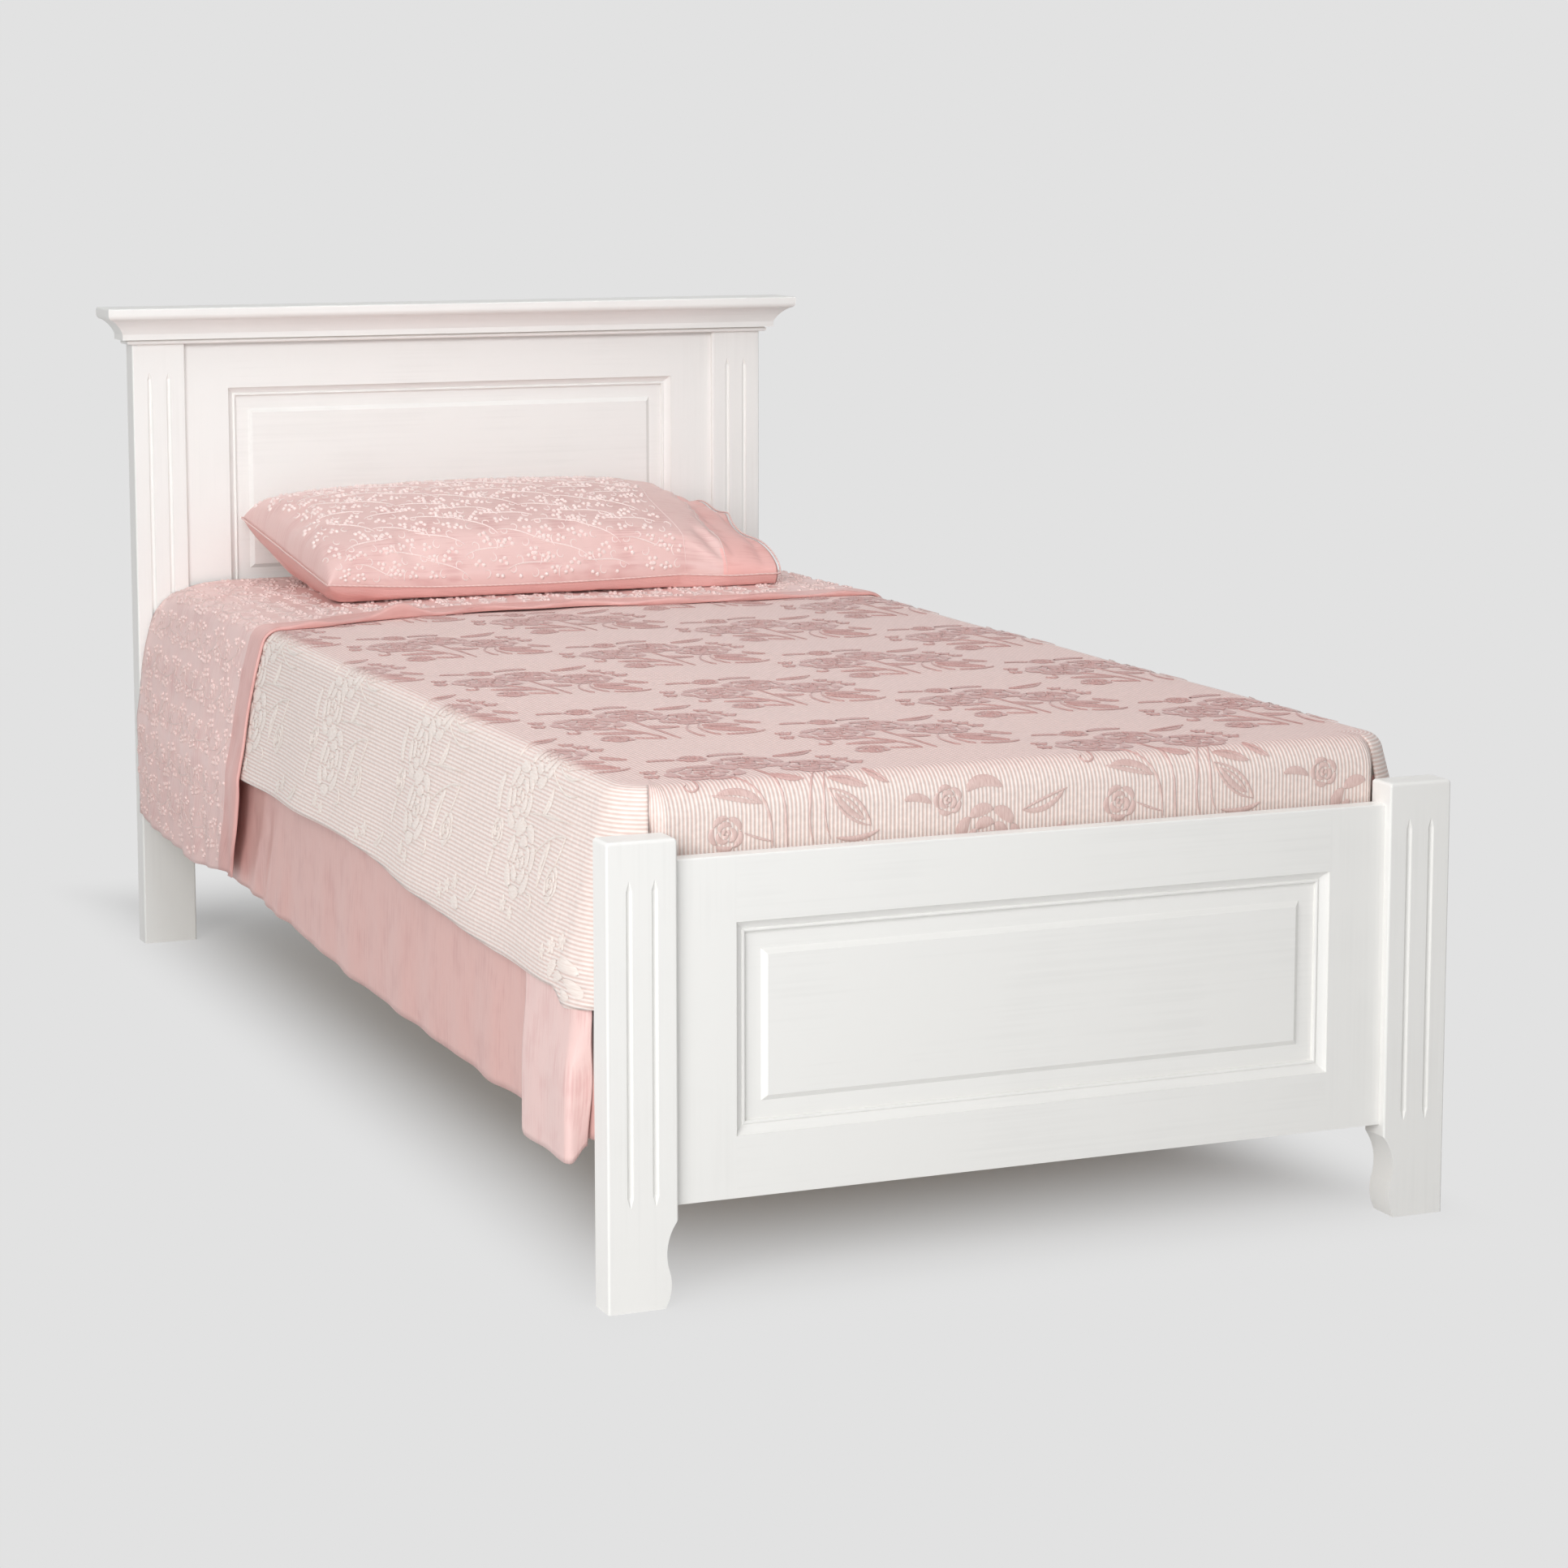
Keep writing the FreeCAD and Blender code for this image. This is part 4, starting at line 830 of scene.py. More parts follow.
def ribbed_jacquard(name):
    """Ribs as a sine across the cloth, u: cream at the crest and pink in the groove, each painted paler where it
    hangs as painted light, with an uneven grit of thread on both."""
    made, tree, shader = new_material(name, Roughness=0.55, Sheen_Weight=0.2, Sheen_Roughness=0.5, IOR=1.45)
    cloth = on_cloth(tree)
    rib = stripes(tree, cloth, RIB_MM, "X")
    share = rescaled(tree, rib, 0.0, 1.0, 0.15, 0.75)
    # Painted light: the hanging codes are paler and creamier than the lying ones, for the light the sides catch.
    tone = painted_light_tone(tree, share, ("#EAD1C8", "#E4BAB3"), ("#FBEFE9", "#F7DFD9"))
    uneven = rescaled(tree, noise(tree, cloth, 1 / (GRIT_MM * MM)), 0.92, 1.04, 0.3, 0.7)
    join(tree, shader, Base_Color=between(tree, 1.0, tone, uneven, "MULTIPLY"),
         Normal=relief(tree, rib, 0.0009, 0.6))
    return made


ribs = ribbed_jacquard("ribbed_jacquard_cotton")

# %% [markdown]
# The coverlet has its two foot corners cut out, so that it can fall straight on three sides. Its hanging side
# swings round the corner of the mattress as a rounded lobe and covers the end of the foot part, which is tucked
# in behind it. Both come from one surface, whose square corner round_foot draws round.

# %% Drape the coverlet
COVER_RISE = 0.0078
COVER_THICK = 0.003
COVER_LEAN = 0.2525
COVER_HEAD = 0.5045
COVER_FOOT = FOOT_EDGE
FOOT_ROUND = 0.034
FOOT_LONG = 0.152
FOOT_TUCK = 0.36
SWAY, UNEVEN = 0.0025, 0.0011
COVER_HEM = ([-0.920, -0.905, -0.894, -0.885, -0.872, -0.675, -0.356, -0.118, 0.346, 0.51],
             [0.305, 0.301, 0.2985, 0.303, 0.3145, 0.312, 0.328, 0.342, 0.339, 0.343])


def coverlet_at(u, v):
    """The coverlet: over_bed, turned down at the foot on an arc of FOOT_ROUND that is tucked in at its ends, with
    a slow sway where it hangs, faint unevenness where it lies, and rounded foot corners."""
    p, t = over_bed(u, np.maximum(v, COVER_FOOT), COVER_RISE, COVER_LEAN)
    roll_out, roll_down = fall(np.maximum(COVER_FOOT - v, 0), FOOT_ROUND, 0.0, 0.1)
    tuck = ease(RIDGE_X - 0.8 * FOOT_CORNER, RIDGE_X, np.abs(u))
    p[..., 1] -= roll_out * (1 - FOOT_TUCK * tuck)
    p[..., 2] -= roll_down
    sway = wave(v, 0.47, 1.0) + 0.6 * wave(v, 0.23, np.sign(u))
    sway = sway * ease(0.0, 0.22, t) * ease(COVER_FOOT + FOOT_CORNER, COVER_FOOT + 0.08, v)
    p[..., 0] += np.sign(u) * SWAY * sway
    flat = 1 - ease(0.0, 0.02, t)
    p[..., 2] += flat * UNEVEN * (np.sin(9 * u + 2) * np.sin(7 * v + 1) + 0.7 * np.sin(21 * u + 13 * v))
    return round_foot(p)


def lies(u, v):
    """1 where the coverlet lies on the bed, 0 where it hangs at a side or at the foot: the mask of its painted
    light.
    """
    return (1 - ease(-0.006, 0.022, np.abs(u) - RIDGE_X)) * (1 - ease(-0.004, 0.040, COVER_FOOT - v))


at_foot = np.linspace(COVER_FOOT, COVER_FOOT + FOOT_CORNER, 19)
v = np.concatenate([at_foot, np.linspace(COVER_FOOT + FOOT_CORNER, COVER_HEAD, 130)[1:]])
hang = drop_length(COVER_RISE, COVER_LEAN, np.interp(v, *COVER_HEM))
inner = RIDGE_X - FOOT_CORNER
at_side = np.linspace(inner, RIDGE_X, 13)
across = np.concatenate([-at_side[::-1], np.linspace(-inner, inner, 84)[1:-1], at_side])
side = RIDGE_X + np.linspace(0, 1, 46)[:, None] * hang[None, :]
u = np.concatenate([-side[::-1], across[1:-1, None] + 0 * v[None, :], side])
v = v[None, :] + 0 * u
down_u, down_v = np.meshgrid(across, COVER_FOOT - np.linspace(0, 1, 26) ** 1.2 * FOOT_LONG, indexing="ij")
cloth = np.concatenate([pairs(u, v), pairs(down_u, down_v)])
quads = np.concatenate([grid_quads(*u.shape), grid_quads(*down_u.shape, u.size)[:, ::-1]])
# Painted light: the lie values make the jacquard's colour paler and creamier where the coverlet hangs.
coverlet = new_piece("jacquard_coverlet", coverlet_at(cloth[:, 0], cloth[:, 1]), quads, "mattress_set", [ribs],
                     uv=cloth, lie_for_painted_light=lies(cloth[:, 0], cloth[:, 1]))
thicken(coverlet, COVER_THICK)
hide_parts("coverlet")

# %% [markdown]
# ## The turn-down
# At the head the top sheet is folded back over the coverlet, with a plain hem band along its edge. The fold
# is only a few millimetres high, but it doesn't lie quite flat: it ripples, and in one place it has rucked
# up. The surface follows the cloth: it starts under the fold, goes forward, turns over on a half circle and
# runs back to the headboard. Its front edge isn't straight; it wanders as the photograph shows.

# %% Fold the turn-down
TURN_RISE = 0.0093
TURN_THICK = 0.0012
TURN_LEAN = 0.255
TURN_HEAD = 0.9575
ROLL = 0.0022
UNDER = 0.016
BAND = 0.060
RUCK, RIPPLE = 0.011, 0.0045
TURN_HEM = ([0.33, 0.43, 0.60, 0.64, 0.80, 0.90, 0.935, 0.958],
            [0.203, 0.200, 0.184, 0.187, 0.187, 0.189, 0.194, 0.207])
FRONT_U = [-0.85, -0.786, -0.755, -0.718, -0.66, -0.60, -0.56, -0.51, -0.46, -0.43, -0.38,
           -0.32, -0.22, -0.14, -0.05, 0.00, 0.163, 0.30, 0.42, 0.50, 0.60, 0.85]
FRONT_Y = [0.430, 0.397, 0.376, 0.356, 0.345, 0.355, 0.371, 0.383, 0.382, 0.376, 0.388,
           0.420, 0.4455, 0.4625, 0.4690, 0.4690, 0.4400, 0.4400, 0.4350, 0.43, 0.43, 0.455]
fine_u = np.linspace(-0.85, 0.85, 681)
smooth = np.hanning(23)[1:-1] / np.hanning(23).sum()
fine_y = np.convolve(np.pad(np.interp(fine_u, FRONT_U, FRONT_Y), 10, "edge"), smooth, "valid")


def front_edge(u):
    """Where the fold runs: a smoothed line through measured places, with small ripples on it."""
    return np.interp(u, fine_u, fine_y) + 0.0035 * np.sin(41 * u) * bell(u, 0.35)


def turn_down_at(u, w):
    """The turn-down at u across and w along the cloth from its hidden end: UNDER forward, a half circle of
    radius ROLL, then back. Bells lift the ruck and the ripples at the fold. Towards the head the hanging part
    keeps closer to the rail, as a cloth does whose end is free."""
    front = front_edge(u)
    turn = np.clip((w - UNDER) / ROLL, 0, np.pi)
    back = np.maximum(w - UNDER - np.pi * ROLL, 0)
    y = front + np.where(w < UNDER, UNDER - w, 0) - ROLL * np.sin(turn) + back
    ruck = RUCK * bell(u + 0.25, 0.030) * bell(back, 0.040)
    ripple = RIPPLE * (0.5 + 0.5 * wave(u, 0.135, 1.2)) * bell(back, 0.028)
    ripple = ripple * ease(RIDGE_X, RIDGE_X - 0.05, np.abs(u))
    lift = ROLL * (1 - np.cos(turn)) * (1 - 0.7 * ease(0.0, 0.10, back))
    lift = lift + (ruck + ripple) * np.clip(turn / 2, 0, 1)
    p, t = over_bed(u, y, TURN_RISE + lift, TURN_LEAN)
    sink_at_head(p, u, y)
    loose = ease(0.55, 0.957, y)
    p[..., 2] -= 0.006 * loose * bell(np.abs(u) - RIDGE_X, 0.05)
    low = ease(0.02, 0.30, t)
    fold = 0.0055 * folds(y * 0.8, 2.0) + 0.0016 * wave(y, 0.071, 3 * t) - 0.0025
    drawn_in = loose * (0.0105 * ease(0.10, 0.22, t) + 0.006 * ease(0.30, 0.42, t))
    p[..., 0] += np.sign(u) * (low * fold - drawn_in)
    p[..., 2] += (1 - ease(0.0, 0.02, t)) * 0.0012 * np.sin(17 * u + 3) * np.sin(23 * y) * (turn > 3)
    return p


def turn_down_face(u, y):
    """The upper face of the turn-down over bed place y, which embroidery is sewn on."""
    return turn_down_at(u, y - front_edge(u) + UNDER + np.pi * ROLL)


def turn_down_hang(y):
    """Length of the turn-down beyond the ridge at bed place y."""
    return drop_length(TURN_RISE, TURN_LEAN, np.interp(y, *TURN_HEM))


print("the fold crosses the middle of the bed at", round(float(front_edge(0.0)), 3), "m")

# %% [markdown]
# The turn-down is sampled most closely at its fold, where it turns on a radius of about two millimetres. Faces
# less than a band's width behind the fold get the hem's satin.

# %% Lay the turn-down
share = np.linspace(0, 1, 60)
start = np.concatenate([-RIDGE_X - share[::-1] * turn_down_hang(0.4), np.linspace(-RIDGE_X, RIDGE_X, 130)[1:-1],
                        RIDGE_X + share * turn_down_hang(0.4)])
roll = np.concatenate([np.linspace(0, UNDER, 4)[:-1], UNDER + np.linspace(0, np.pi, 8) * ROLL])
run = np.linspace(0, 1, 72)[None, 1:] ** 1.25 * (TURN_HEAD - front_edge(start))[:, None]
w = np.concatenate([roll[None, :] + 0 * start[:, None], roll[-1] + run], 1)
y = front_edge(start)[:, None] + np.maximum(w - UNDER - np.pi * ROLL, 0)
t = np.maximum(np.abs(start) - RIDGE_X, 0)[:, None] * turn_down_hang(y) / turn_down_hang(0.4)
u = np.where(np.abs(start)[:, None] > RIDGE_X, np.sign(start)[:, None] * (RIDGE_X + t), start[:, None])
behind = (w - UNDER - np.pi * ROLL)[:-1, :-1].ravel()
turn_down = new_piece("satin_turn_down", turn_down_at(u, w).reshape(-1, 3), grid_quads(*u.shape), "mattress_set",
                      [turn_satin, band_satin], which=behind < BAND, uv=pairs(u, w))
thicken(turn_down, TURN_THICK)
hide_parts("top_sheet")

# %% [markdown]
# ## The pillow
# A pillow is two flat panels sewn together and stuffed, so it has pointed corners, sides that pull in and
# small puckers along its seam. A smooth lens gives the corners and sides but no puckers. Cloth simulation
# gives them: the lens is made a few percent too large for its shape and blown up from inside, and the spare
# cloth gathers where it must. The pillowcase is longer than the pillow, so its right end is an empty mouth;
# that end is pinned, and a fold of cloth inside closes it.

# %% Cut the pillowcase
CASE_LEFT, CASE_RIGHT = -0.344, 0.362
STUFFED_RIGHT = 0.335
BAND_LEFT, BAND_RIGHT = 0.218, 0.278
CASE_MIDDLE_Y = 0.7670
CASE_HALF = 0.190
CROWN, BELLY = 0.072, 0.056
MOUTH, MOUTH_FOLD = 0.040, 0.040
LEAN_BACK = 9.5
SEAM_HEIGHT = 0.5850
BED_TOP = MATTRESS_TOP + TURN_RISE + 0.0032
ALONG, ACROSS = 112, 66


def pillow_at(a, b, height):
    """Pillow at a, 0..1 from the left end to the mouth, and b, -1..1 from front to head. Its height over the
    seam is four a' times one less a' to the power 0.27, where a' runs over the stuffed part, joined to the
    height of the mouth by the root of the sum of squares; times one less b squared to the power 0.44. The left
    end is cut on a slant and pulls in, and the whole leans back on the headboard, more at its left."""
    slant = 0.020 * ((1 - b) / 2) ** 1.5 + 0.004 * (1 - b ** 2)
    left = CASE_LEFT + slant
    mouth_end = CASE_RIGHT - 0.016 * ease(-1.0, -0.35, b) + 0.014 * ease(-0.25, 0.15, b)
    x = left + a * (mouth_end - left)
    stuffed = np.clip((x - left) / (STUFFED_RIGHT - left), 0, 1)
    full = 4 * stuffed * (1 - stuffed)
    tail = ease(0.19, CASE_RIGHT, x)
    y = b * CASE_HALF * (1 - 0.03 * full * (b > 0))
    arch = (1 - np.minimum(b ** 2, 1)) ** np.where(height > 0, 0.44, 0.34)
    z = np.sign(height) * np.hypot(height * full ** 0.27, MOUTH * tail) * arch
    z = z + 0.004 * tail * np.sin(9 * b + 2.0) * arch
    tip = np.radians(LEAN_BACK - 1.5 * tail)
    seam = SEAM_HEIGHT - 0.010 * tail - 0.008 * full * (1 - b) / 2
    depth, rise = y * np.cos(tip) - z * np.sin(tip), y * np.sin(tip) + z * np.cos(tip)
    placed = np.stack([x, CASE_MIDDLE_Y + depth, seam + rise], -1)
    placed[..., 2] = np.maximum(placed[..., 2], BED_TOP + 0.002 * (height > 0))
    return placed


spaced = -np.cos(np.linspace(0, np.pi, ACROSS)) * 0.55 + np.linspace(-1, 1, ACROSS) * 0.45
a, b = np.meshgrid(np.linspace(0, 1, ALONG), spaced, indexing="ij")
upper, lower = pillow_at(a, b, CROWN), pillow_at(a, b, -BELLY)
rim = np.zeros(a.shape, bool)
rim[0, :] = True
rim[:, [0, -1]] = True
number = np.arange(a.size).reshape(a.shape)
under = np.where(rim, number, a.size + np.cumsum(~rim).reshape(a.shape) - 1)
inner = (upper[-1] + lower[-1])[1:-1] / 2 - [MOUTH_FOLD, 0, 0]
throat = np.concatenate([number[-1, :1], under.max() + 1 + np.arange(ACROSS - 2), number[-1, -1:]])
shape = np.concatenate([upper.reshape(-1, 3), lower[~rim], inner])


def corners(sheet):
    """Corner numbers of the quads of a sheet whose points carry these numbers."""
    return sheet.ravel()[grid_quads(*sheet.shape)]


closing = np.concatenate([corners(np.stack([number[-1], throat])), corners(np.stack([throat, under[-1]]))])
quads = np.concatenate([corners(number), closing, corners(under)[:, ::-1]])
print("pillow cut:", len(shape), "points, box", np.round(shape.min(0), 3), np.round(shape.max(0), 3))

# %% Stuff it
SPARE_CLOTH = 0.045
MOST_MOVE = 0.014
HELD_END = 0.045
STEPS = 20


def stuffed_shape(start, faces, held):
    """Blows a closed cloth up from inside for STEPS steps with no gravity, points in held staying put, and caps
    how far each point may go."""
    mesh = bpy.data.meshes.new("pillow_in_work")
    mesh.from_pydata(start.tolist(), [], as_faces(faces))
    work = bpy.data.objects.new("pillow_in_work", mesh)
    scene.collection.objects.link(work)
    work.vertex_groups.new(name="held").add(np.nonzero(held)[0].tolist(), 1.0, "REPLACE")
    cloth = work.modifiers.new("stuffing", "CLOTH")
    cloth.settings.quality = 6
    cloth.settings.mass = 0.15
    cloth.settings.use_pressure = True
    cloth.settings.uniform_pressure_force = 4.0
    cloth.settings.shrink_min = -SPARE_CLOTH
    cloth.settings.bending_stiffness = 0.05
    cloth.settings.vertex_group_mass = "held"
    cloth.settings.effector_weights.gravity = 0.0
    cloth.point_cache.frame_end = STEPS
    for step in range(1, STEPS + 1):
        scene.frame_set(step)
    done = work.evaluated_get(bpy.context.evaluated_depsgraph_get()).to_mesh()
    place = np.zeros(len(start) * 3)
    done.vertices.foreach_get("co", place)
    bpy.data.objects.remove(work)
    scene.frame_set(1)
    move = place.reshape(-1, 3) - start
    length = np.linalg.norm(move, axis=1, keepdims=True)
    return start + move * np.minimum(1, MOST_MOVE / np.maximum(length, 1e-9))


shape = stuffed_shape(shape, quads, shape[:, 0] > STUFFED_RIGHT - HELD_END)
shape[:, 2] = np.maximum(shape[:, 2], BED_TOP)
flat_uv = np.stack([a * (CASE_RIGHT - CASE_LEFT), b * CASE_HALF], -1)
case_uv = np.concatenate([flat_uv.reshape(-1, 2), flat_uv[~rim] + [0, 1], flat_uv[-1, 1:-1] + [0.04, 2]])
middle_x = shape[quads].mean(1)[:, 0]
is_upper = np.arange(len(quads)) < (ALONG - 1) * (ACROSS - 1)
# Painted light: the underside and the flange wear the lighter back satin, which stands for the light they get.
pillow = new_piece("satin_pillow", shape, quads, "pillow", [case_satin, back_satin_painted_lighter],
                   which=~is_upper | (middle_x > BAND_RIGHT), uv=case_uv, weld=False)
rounding = pillow.modifiers.new("rounding", "SUBSURF")
rounding.levels = rounding.render_levels = 1
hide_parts("pillowcase", "pillow_insert")

# %% [markdown]
# The seam of the pillowcase is finished with a thin cord of the same colour. It follows the rim that the
# simulation left, so it is a tube carried along that rim, round the mouth as well.

# %% Sew the seam cord
PIPING, TWIST_MM = 0.0013, 4
rim_numbers = np.concatenate([number[::-1, 0], number[0, 1:-1], number[:, -1], number[-1, -2:0:-1]])
cord_points, cord_quads = tube(shape[rim_numbers], PIPING, 6)
cream, tree, shader = new_material("twisted_rayon_cord", Roughness=0.5, Sheen_Weight=0.3)
twist = stripes(tree, in_piece(tree), TWIST_MM, "DIAGONAL")
join(tree, shader, Base_Color=two_tone(tree, twist, "#E3BDB8", "#EBCCC6"))
piping = new_piece("pillow_seam_cord", cord_points, cord_quads, "pillow", [cream])

# %% [markdown]
# ## Woven and sewn ornament
# Bouquets on the coverlet, sprigs on the turn-down and pillow: all are made of strokes, as a brush would
# make them. A stroke has a start, a heading that turns along it and a width that swells and tapers; a petal
# is a short wide one, a stem a long narrow one, a tendril one that turns ever faster. Every stroke is worked
# out flat on the cloth, then laid on the curved cloth a little proud of it, so it follows every fold. The
# flowers are plain garden ones drawn for this bed.

# %% Stroke helpers
def strokes(table, steps=9):
    """Rows of x, y, heading, length, bend, curl, width in millimetres and radians. Along s from 0 to 1 the
    direction is heading + bend s + curl s squared; the centre line is its running sum, and the half width is
    width / 2 times the square root of sin(pi s). Gives flat points and how high each stands, 1 at the crest."""
    x, y, heading, length, bend, curl, width = np.asarray(table, float).T[:, :, None]
    s = np.linspace(0, 1, steps)[None, :]
    angle = heading + bend * s + curl * s ** 2
    step = length / (steps - 1)
    run = np.stack([np.cos(angle), np.sin(angle)], -1)
    steps_on = np.cumsum((run[:, 1:] + run[:, :-1]) / 2, 1) * step[..., None]
    line = np.concatenate([np.zeros_like(run[:, :1]), steps_on], 1) + np.stack([x, y], -1)
    half = width / 2 * np.sqrt(np.maximum(np.sin(np.pi * np.clip(s, 0.015, 0.985)), 0))
    side = np.stack([-run[..., 1], run[..., 0]], -1)
    across = np.array([-1.0, 0.0, 1.0])[None, None, :, None]
    flat = line[:, :, None] + across * (half[..., None] * side)[:, :, None]
    return flat, np.broadcast_to(np.array([0.0, 1.0, 0.0]), flat.shape[:3])


def strewn(flat, place, turn, flip):
    """Copies of one flat design, each mirrored by flip, turned and moved to its place; millimetres to metres."""
    c, s = np.cos(turn)[:, None, None, None], np.sin(turn)[:, None, None, None]
    px, py = flat[None, ..., 0] * flip[:, None, None, None], flat[None, ..., 1]
    moved = np.stack([c * px - s * py, s * px + c * py], -1) * MM + place[:, None, None, None, :]
    return moved.reshape((-1,) + flat.shape[1:])


def sew_on(name, surface, flat, high, keep, body, material, lift, crest, lie_for_painted_light=None):
    """Lays flat patches on a surface, lift off it at their edges and crest more along their middle. keep says
    of each point whether it is on the cloth; a patch with any point off it is left out. Faces that a mirrored
    patch would turn inwards are turned back."""
    whole = keep(flat[..., 0], flat[..., 1]).reshape(len(flat), -1).all(1)
    flat, high = flat[whole], high[whole]
    u, v = flat[..., 0], flat[..., 1]
    outward = facing(surface, u, v)
    points = surface(u, v) + outward * (lift + crest * high)[..., None]
    one = grid_quads(flat.shape[1], flat.shape[2])
    mid = (flat.shape[1] // 2, flat.shape[2] // 2)
    normal = np.cross(points[:, mid[0], mid[1]] - points[:, mid[0] - 1, mid[1]],
                      points[:, mid[0], mid[1]] - points[:, mid[0], mid[1] - 1])
    wrong = np.sum(normal * outward[:, mid[0], mid[1]], -1) < 0
    quads = np.where(wrong[:, None, None], one[None, :, ::-1], one[None])
    quads = quads + (flat.shape[1] * flat.shape[2] * np.arange(len(flat)))[:, None, None]
    return new_piece(name, points.reshape(-1, 3), quads.reshape(-1, 4), body, [material], uv=flat.reshape(-1, 2),
                     lie_for_painted_light=None if lie_for_painted_light is None else lie_for_painted_light(u, v).ravel(), weld=False)


print("points in one stroke:", strokes([[0, 0, 0, 10, 0, 0, 2]])[0][0, ..., 0].size)

# %% [markdown]
# The bouquet is drawn once, in millimetres: three roses that touch, with small leaves, thin stems and flecks about
# them. A rose could be traced as an outline; rings of separate petals also show the hairlines between floats.

# %% Draw the bouquet
def spray(x, y, headings, length, bend, curl, width):
    """Like strokes, one for each heading; from one point they make leaves, stems or tendrils."""
    headings = np.atleast_1d(headings)
    return np.stack(np.broadcast_arrays(x, y, headings, length, bend, curl, width), 1).astype(float)


def leaf(x, y, heading, length, width, bow):
    """A leaf as two halves that part from one point and meet again, leaving the midrib bare. One half is slimmer,
    and the whole leaf bows to one side."""
    return np.concatenate([spray(x, y, heading - bow / 2 - k * 0.36, length, k * 0.72 + bow, 0,
                                 width * (0.8 + 0.25 * k)) for k in (-1, 1)])


def bloom(x, y, size, petals, start=0.0):
    """An open rose: rings of petals, each an arc a little more bent than its ring so that it bulges, the rings
    smaller inwards and turned on from the last, with only hairlines of ground between them."""
    rows = []
    rings = ((0.40, 0.17, petals), (0.225, 0.15, petals - 2), (0.075, 0.11, 3))
    for ring, (reach, wide, count) in enumerate(rings):
        gap, radius = 2 * np.pi / count, size * reach
        around = start + ring * 0.7 + gap * np.arange(count)
        rows.append(spray(x + radius * np.cos(around), y + radius * np.sin(around),
                          around + np.pi / 2 - 0.12 * gap, radius * gap * 0.98, 1.24 * gap, 0, size * wide))
    return np.concatenate(rows)


FLECKS = [0.2, 1.4, 2.6, 3.9, 5.1]
BOUQUET = np.concatenate([
    bloom(-54, 10, 88, 7), bloom(10, 48, 80, 7, 0.5), bloom(64, 2, 78, 7, 0.3), bloom(-60, -100, 40, 5, 0.2),
    bloom(-36, 92, 34, 5), spray(-14, 100, 0.9, 46, -1.7, 0, 14), spray(-56, 90, 2.4, 32, 1.2, 0, 9),
    leaf(50, 76, 0.35, 56, 6, 0.6), leaf(2, -30, -0.5, 36, 8, 0.5), leaf(60, -48, -0.35, 42, 8, -0.5),
    leaf(104, -34, -0.9, 34, 6, 0.4), leaf(-20, -72, 2.9, 54, 9, 0.7),
    spray(-44, -26, -0.8, 100, -0.8, 0, 3.0), spray(-2, 8, -1.45, 128, -0.1, 0, 3.0),
    spray(52, -30, -2.2, 92, 0.9, 0, 3.0), spray(62, -34, -2.1, 84, 0.9, 0, 2.6),
    spray(-8, -112, 2.9, 34, -0.2, 0, 2.8), spray(-84, -32, -1.2, 44, -1.0, -3.8, 2.6),
    spray(56, -62, -1.35, 66, 1.2, 0, 3.4), spray(56, -62, -0.15, 66, -1.2, 0, 3.4),
    leaf(62, -68, -0.75, 44, 6, 0.0), spray(62, -114, -0.3, 50, 0.8, 0, 6),
    spray(108, 32, FLECKS, 10, 0, 0, 6), spray(116, 10, FLECKS, 10, 0, 0, 6), spray(98, 52, FLECKS, 9, 0, 0, 5),
    spray(-106, 34, FLECKS, 10, 0, 0, 6), spray(-112, 8, FLECKS, 9, 0, 0, 5),
])
print("strokes in a bouquet:", len(BOUQUET))

# %% [markdown]
# ## Bouquets on the coverlet
# The jacquard loom repeats one bouquet in a half-drop: every second column moves on by half a repeat. Satin
# floats lie smooth and a little raised between the ribs. On the bed and at its foot they are painted darker than
# the ribs, and paler where the cloth hangs at the sides: painted light for the sheen the floats catch, so their
# colour also follows how the cloth lies.

# %% Weave the bouquets
REPEAT_U, REPEAT_V = 0.225, 0.350
FIRST_U, FIRST_V = -0.285, -0.19
FLOAT_MM, FLOAT_LONG_MM = 1.6, 9.0
FLOAT_LIFT, FLOAT_CREST = 0.0004, 0.0012


def satin_figure(name):
    """Smooth floats: deep rose on the bed and cream where it hangs, which is painted sheen, with a thread noise
    FLOAT_MM across them.
    """
    made, tree, shader = new_material(name, Roughness=0.42, Anisotropic=0.4, Sheen_Weight=0.3, Sheen_Roughness=0.4,
                                      IOR=1.52)
    thread = noise(tree, drawn_out(tree, on_cloth(tree), (FLOAT_MM, FLOAT_LONG_MM, METRE_MM)), detail=1.0)
    share = rescaled(tree, thread, 0.0, 1.0, 0.3, 0.7)
    # Painted light: the floats are painted cream where they hang and deep rose where they lie.
    join(tree, shader, Base_Color=painted_light_tone(tree, share, ("#EEDED5", "#C08B86"), ("#FAF0E9", "#D6A7A1")),
         Normal=relief(tree, thread, 0.0004, 0.5))
    return made


def on_coverlet(u, v):
    """True on the visible cloth, a little inside its hems and away from the two cut corners."""
    side = np.abs(u) - RIDGE_X
    hem = drop_length(COVER_RISE, COVER_LEAN, np.interp(v, *COVER_HEM))
    at_foot = (side < -0.03) & (COVER_FOOT - v < 0.146)
    return (v < COVER_HEAD - 0.01) & (side < hem - 0.006) & ((v > COVER_FOOT + 0.002) | at_foot)


def figure_painted_light_mask(u, v):
    """As lies, but what falls at the foot counts as bed by about half; the mask of the figure's painted sheen."""
    return lies(u, 0 * v) * (1 - 0.45 * ease(0.0, 0.04, COVER_FOOT - v))


flat, high = strokes(BOUQUET, 10)
column, row = np.meshgrid(np.arange(-2, 6), np.arange(-3, 4), indexing="ij")
drop = np.where(column % 2, REPEAT_V / 2, 0)
place = pairs(column * REPEAT_U + FIRST_U, row * REPEAT_V + FIRST_V + drop)
woven = strewn(flat, place, np.zeros(len(place)), np.ones(len(place)))
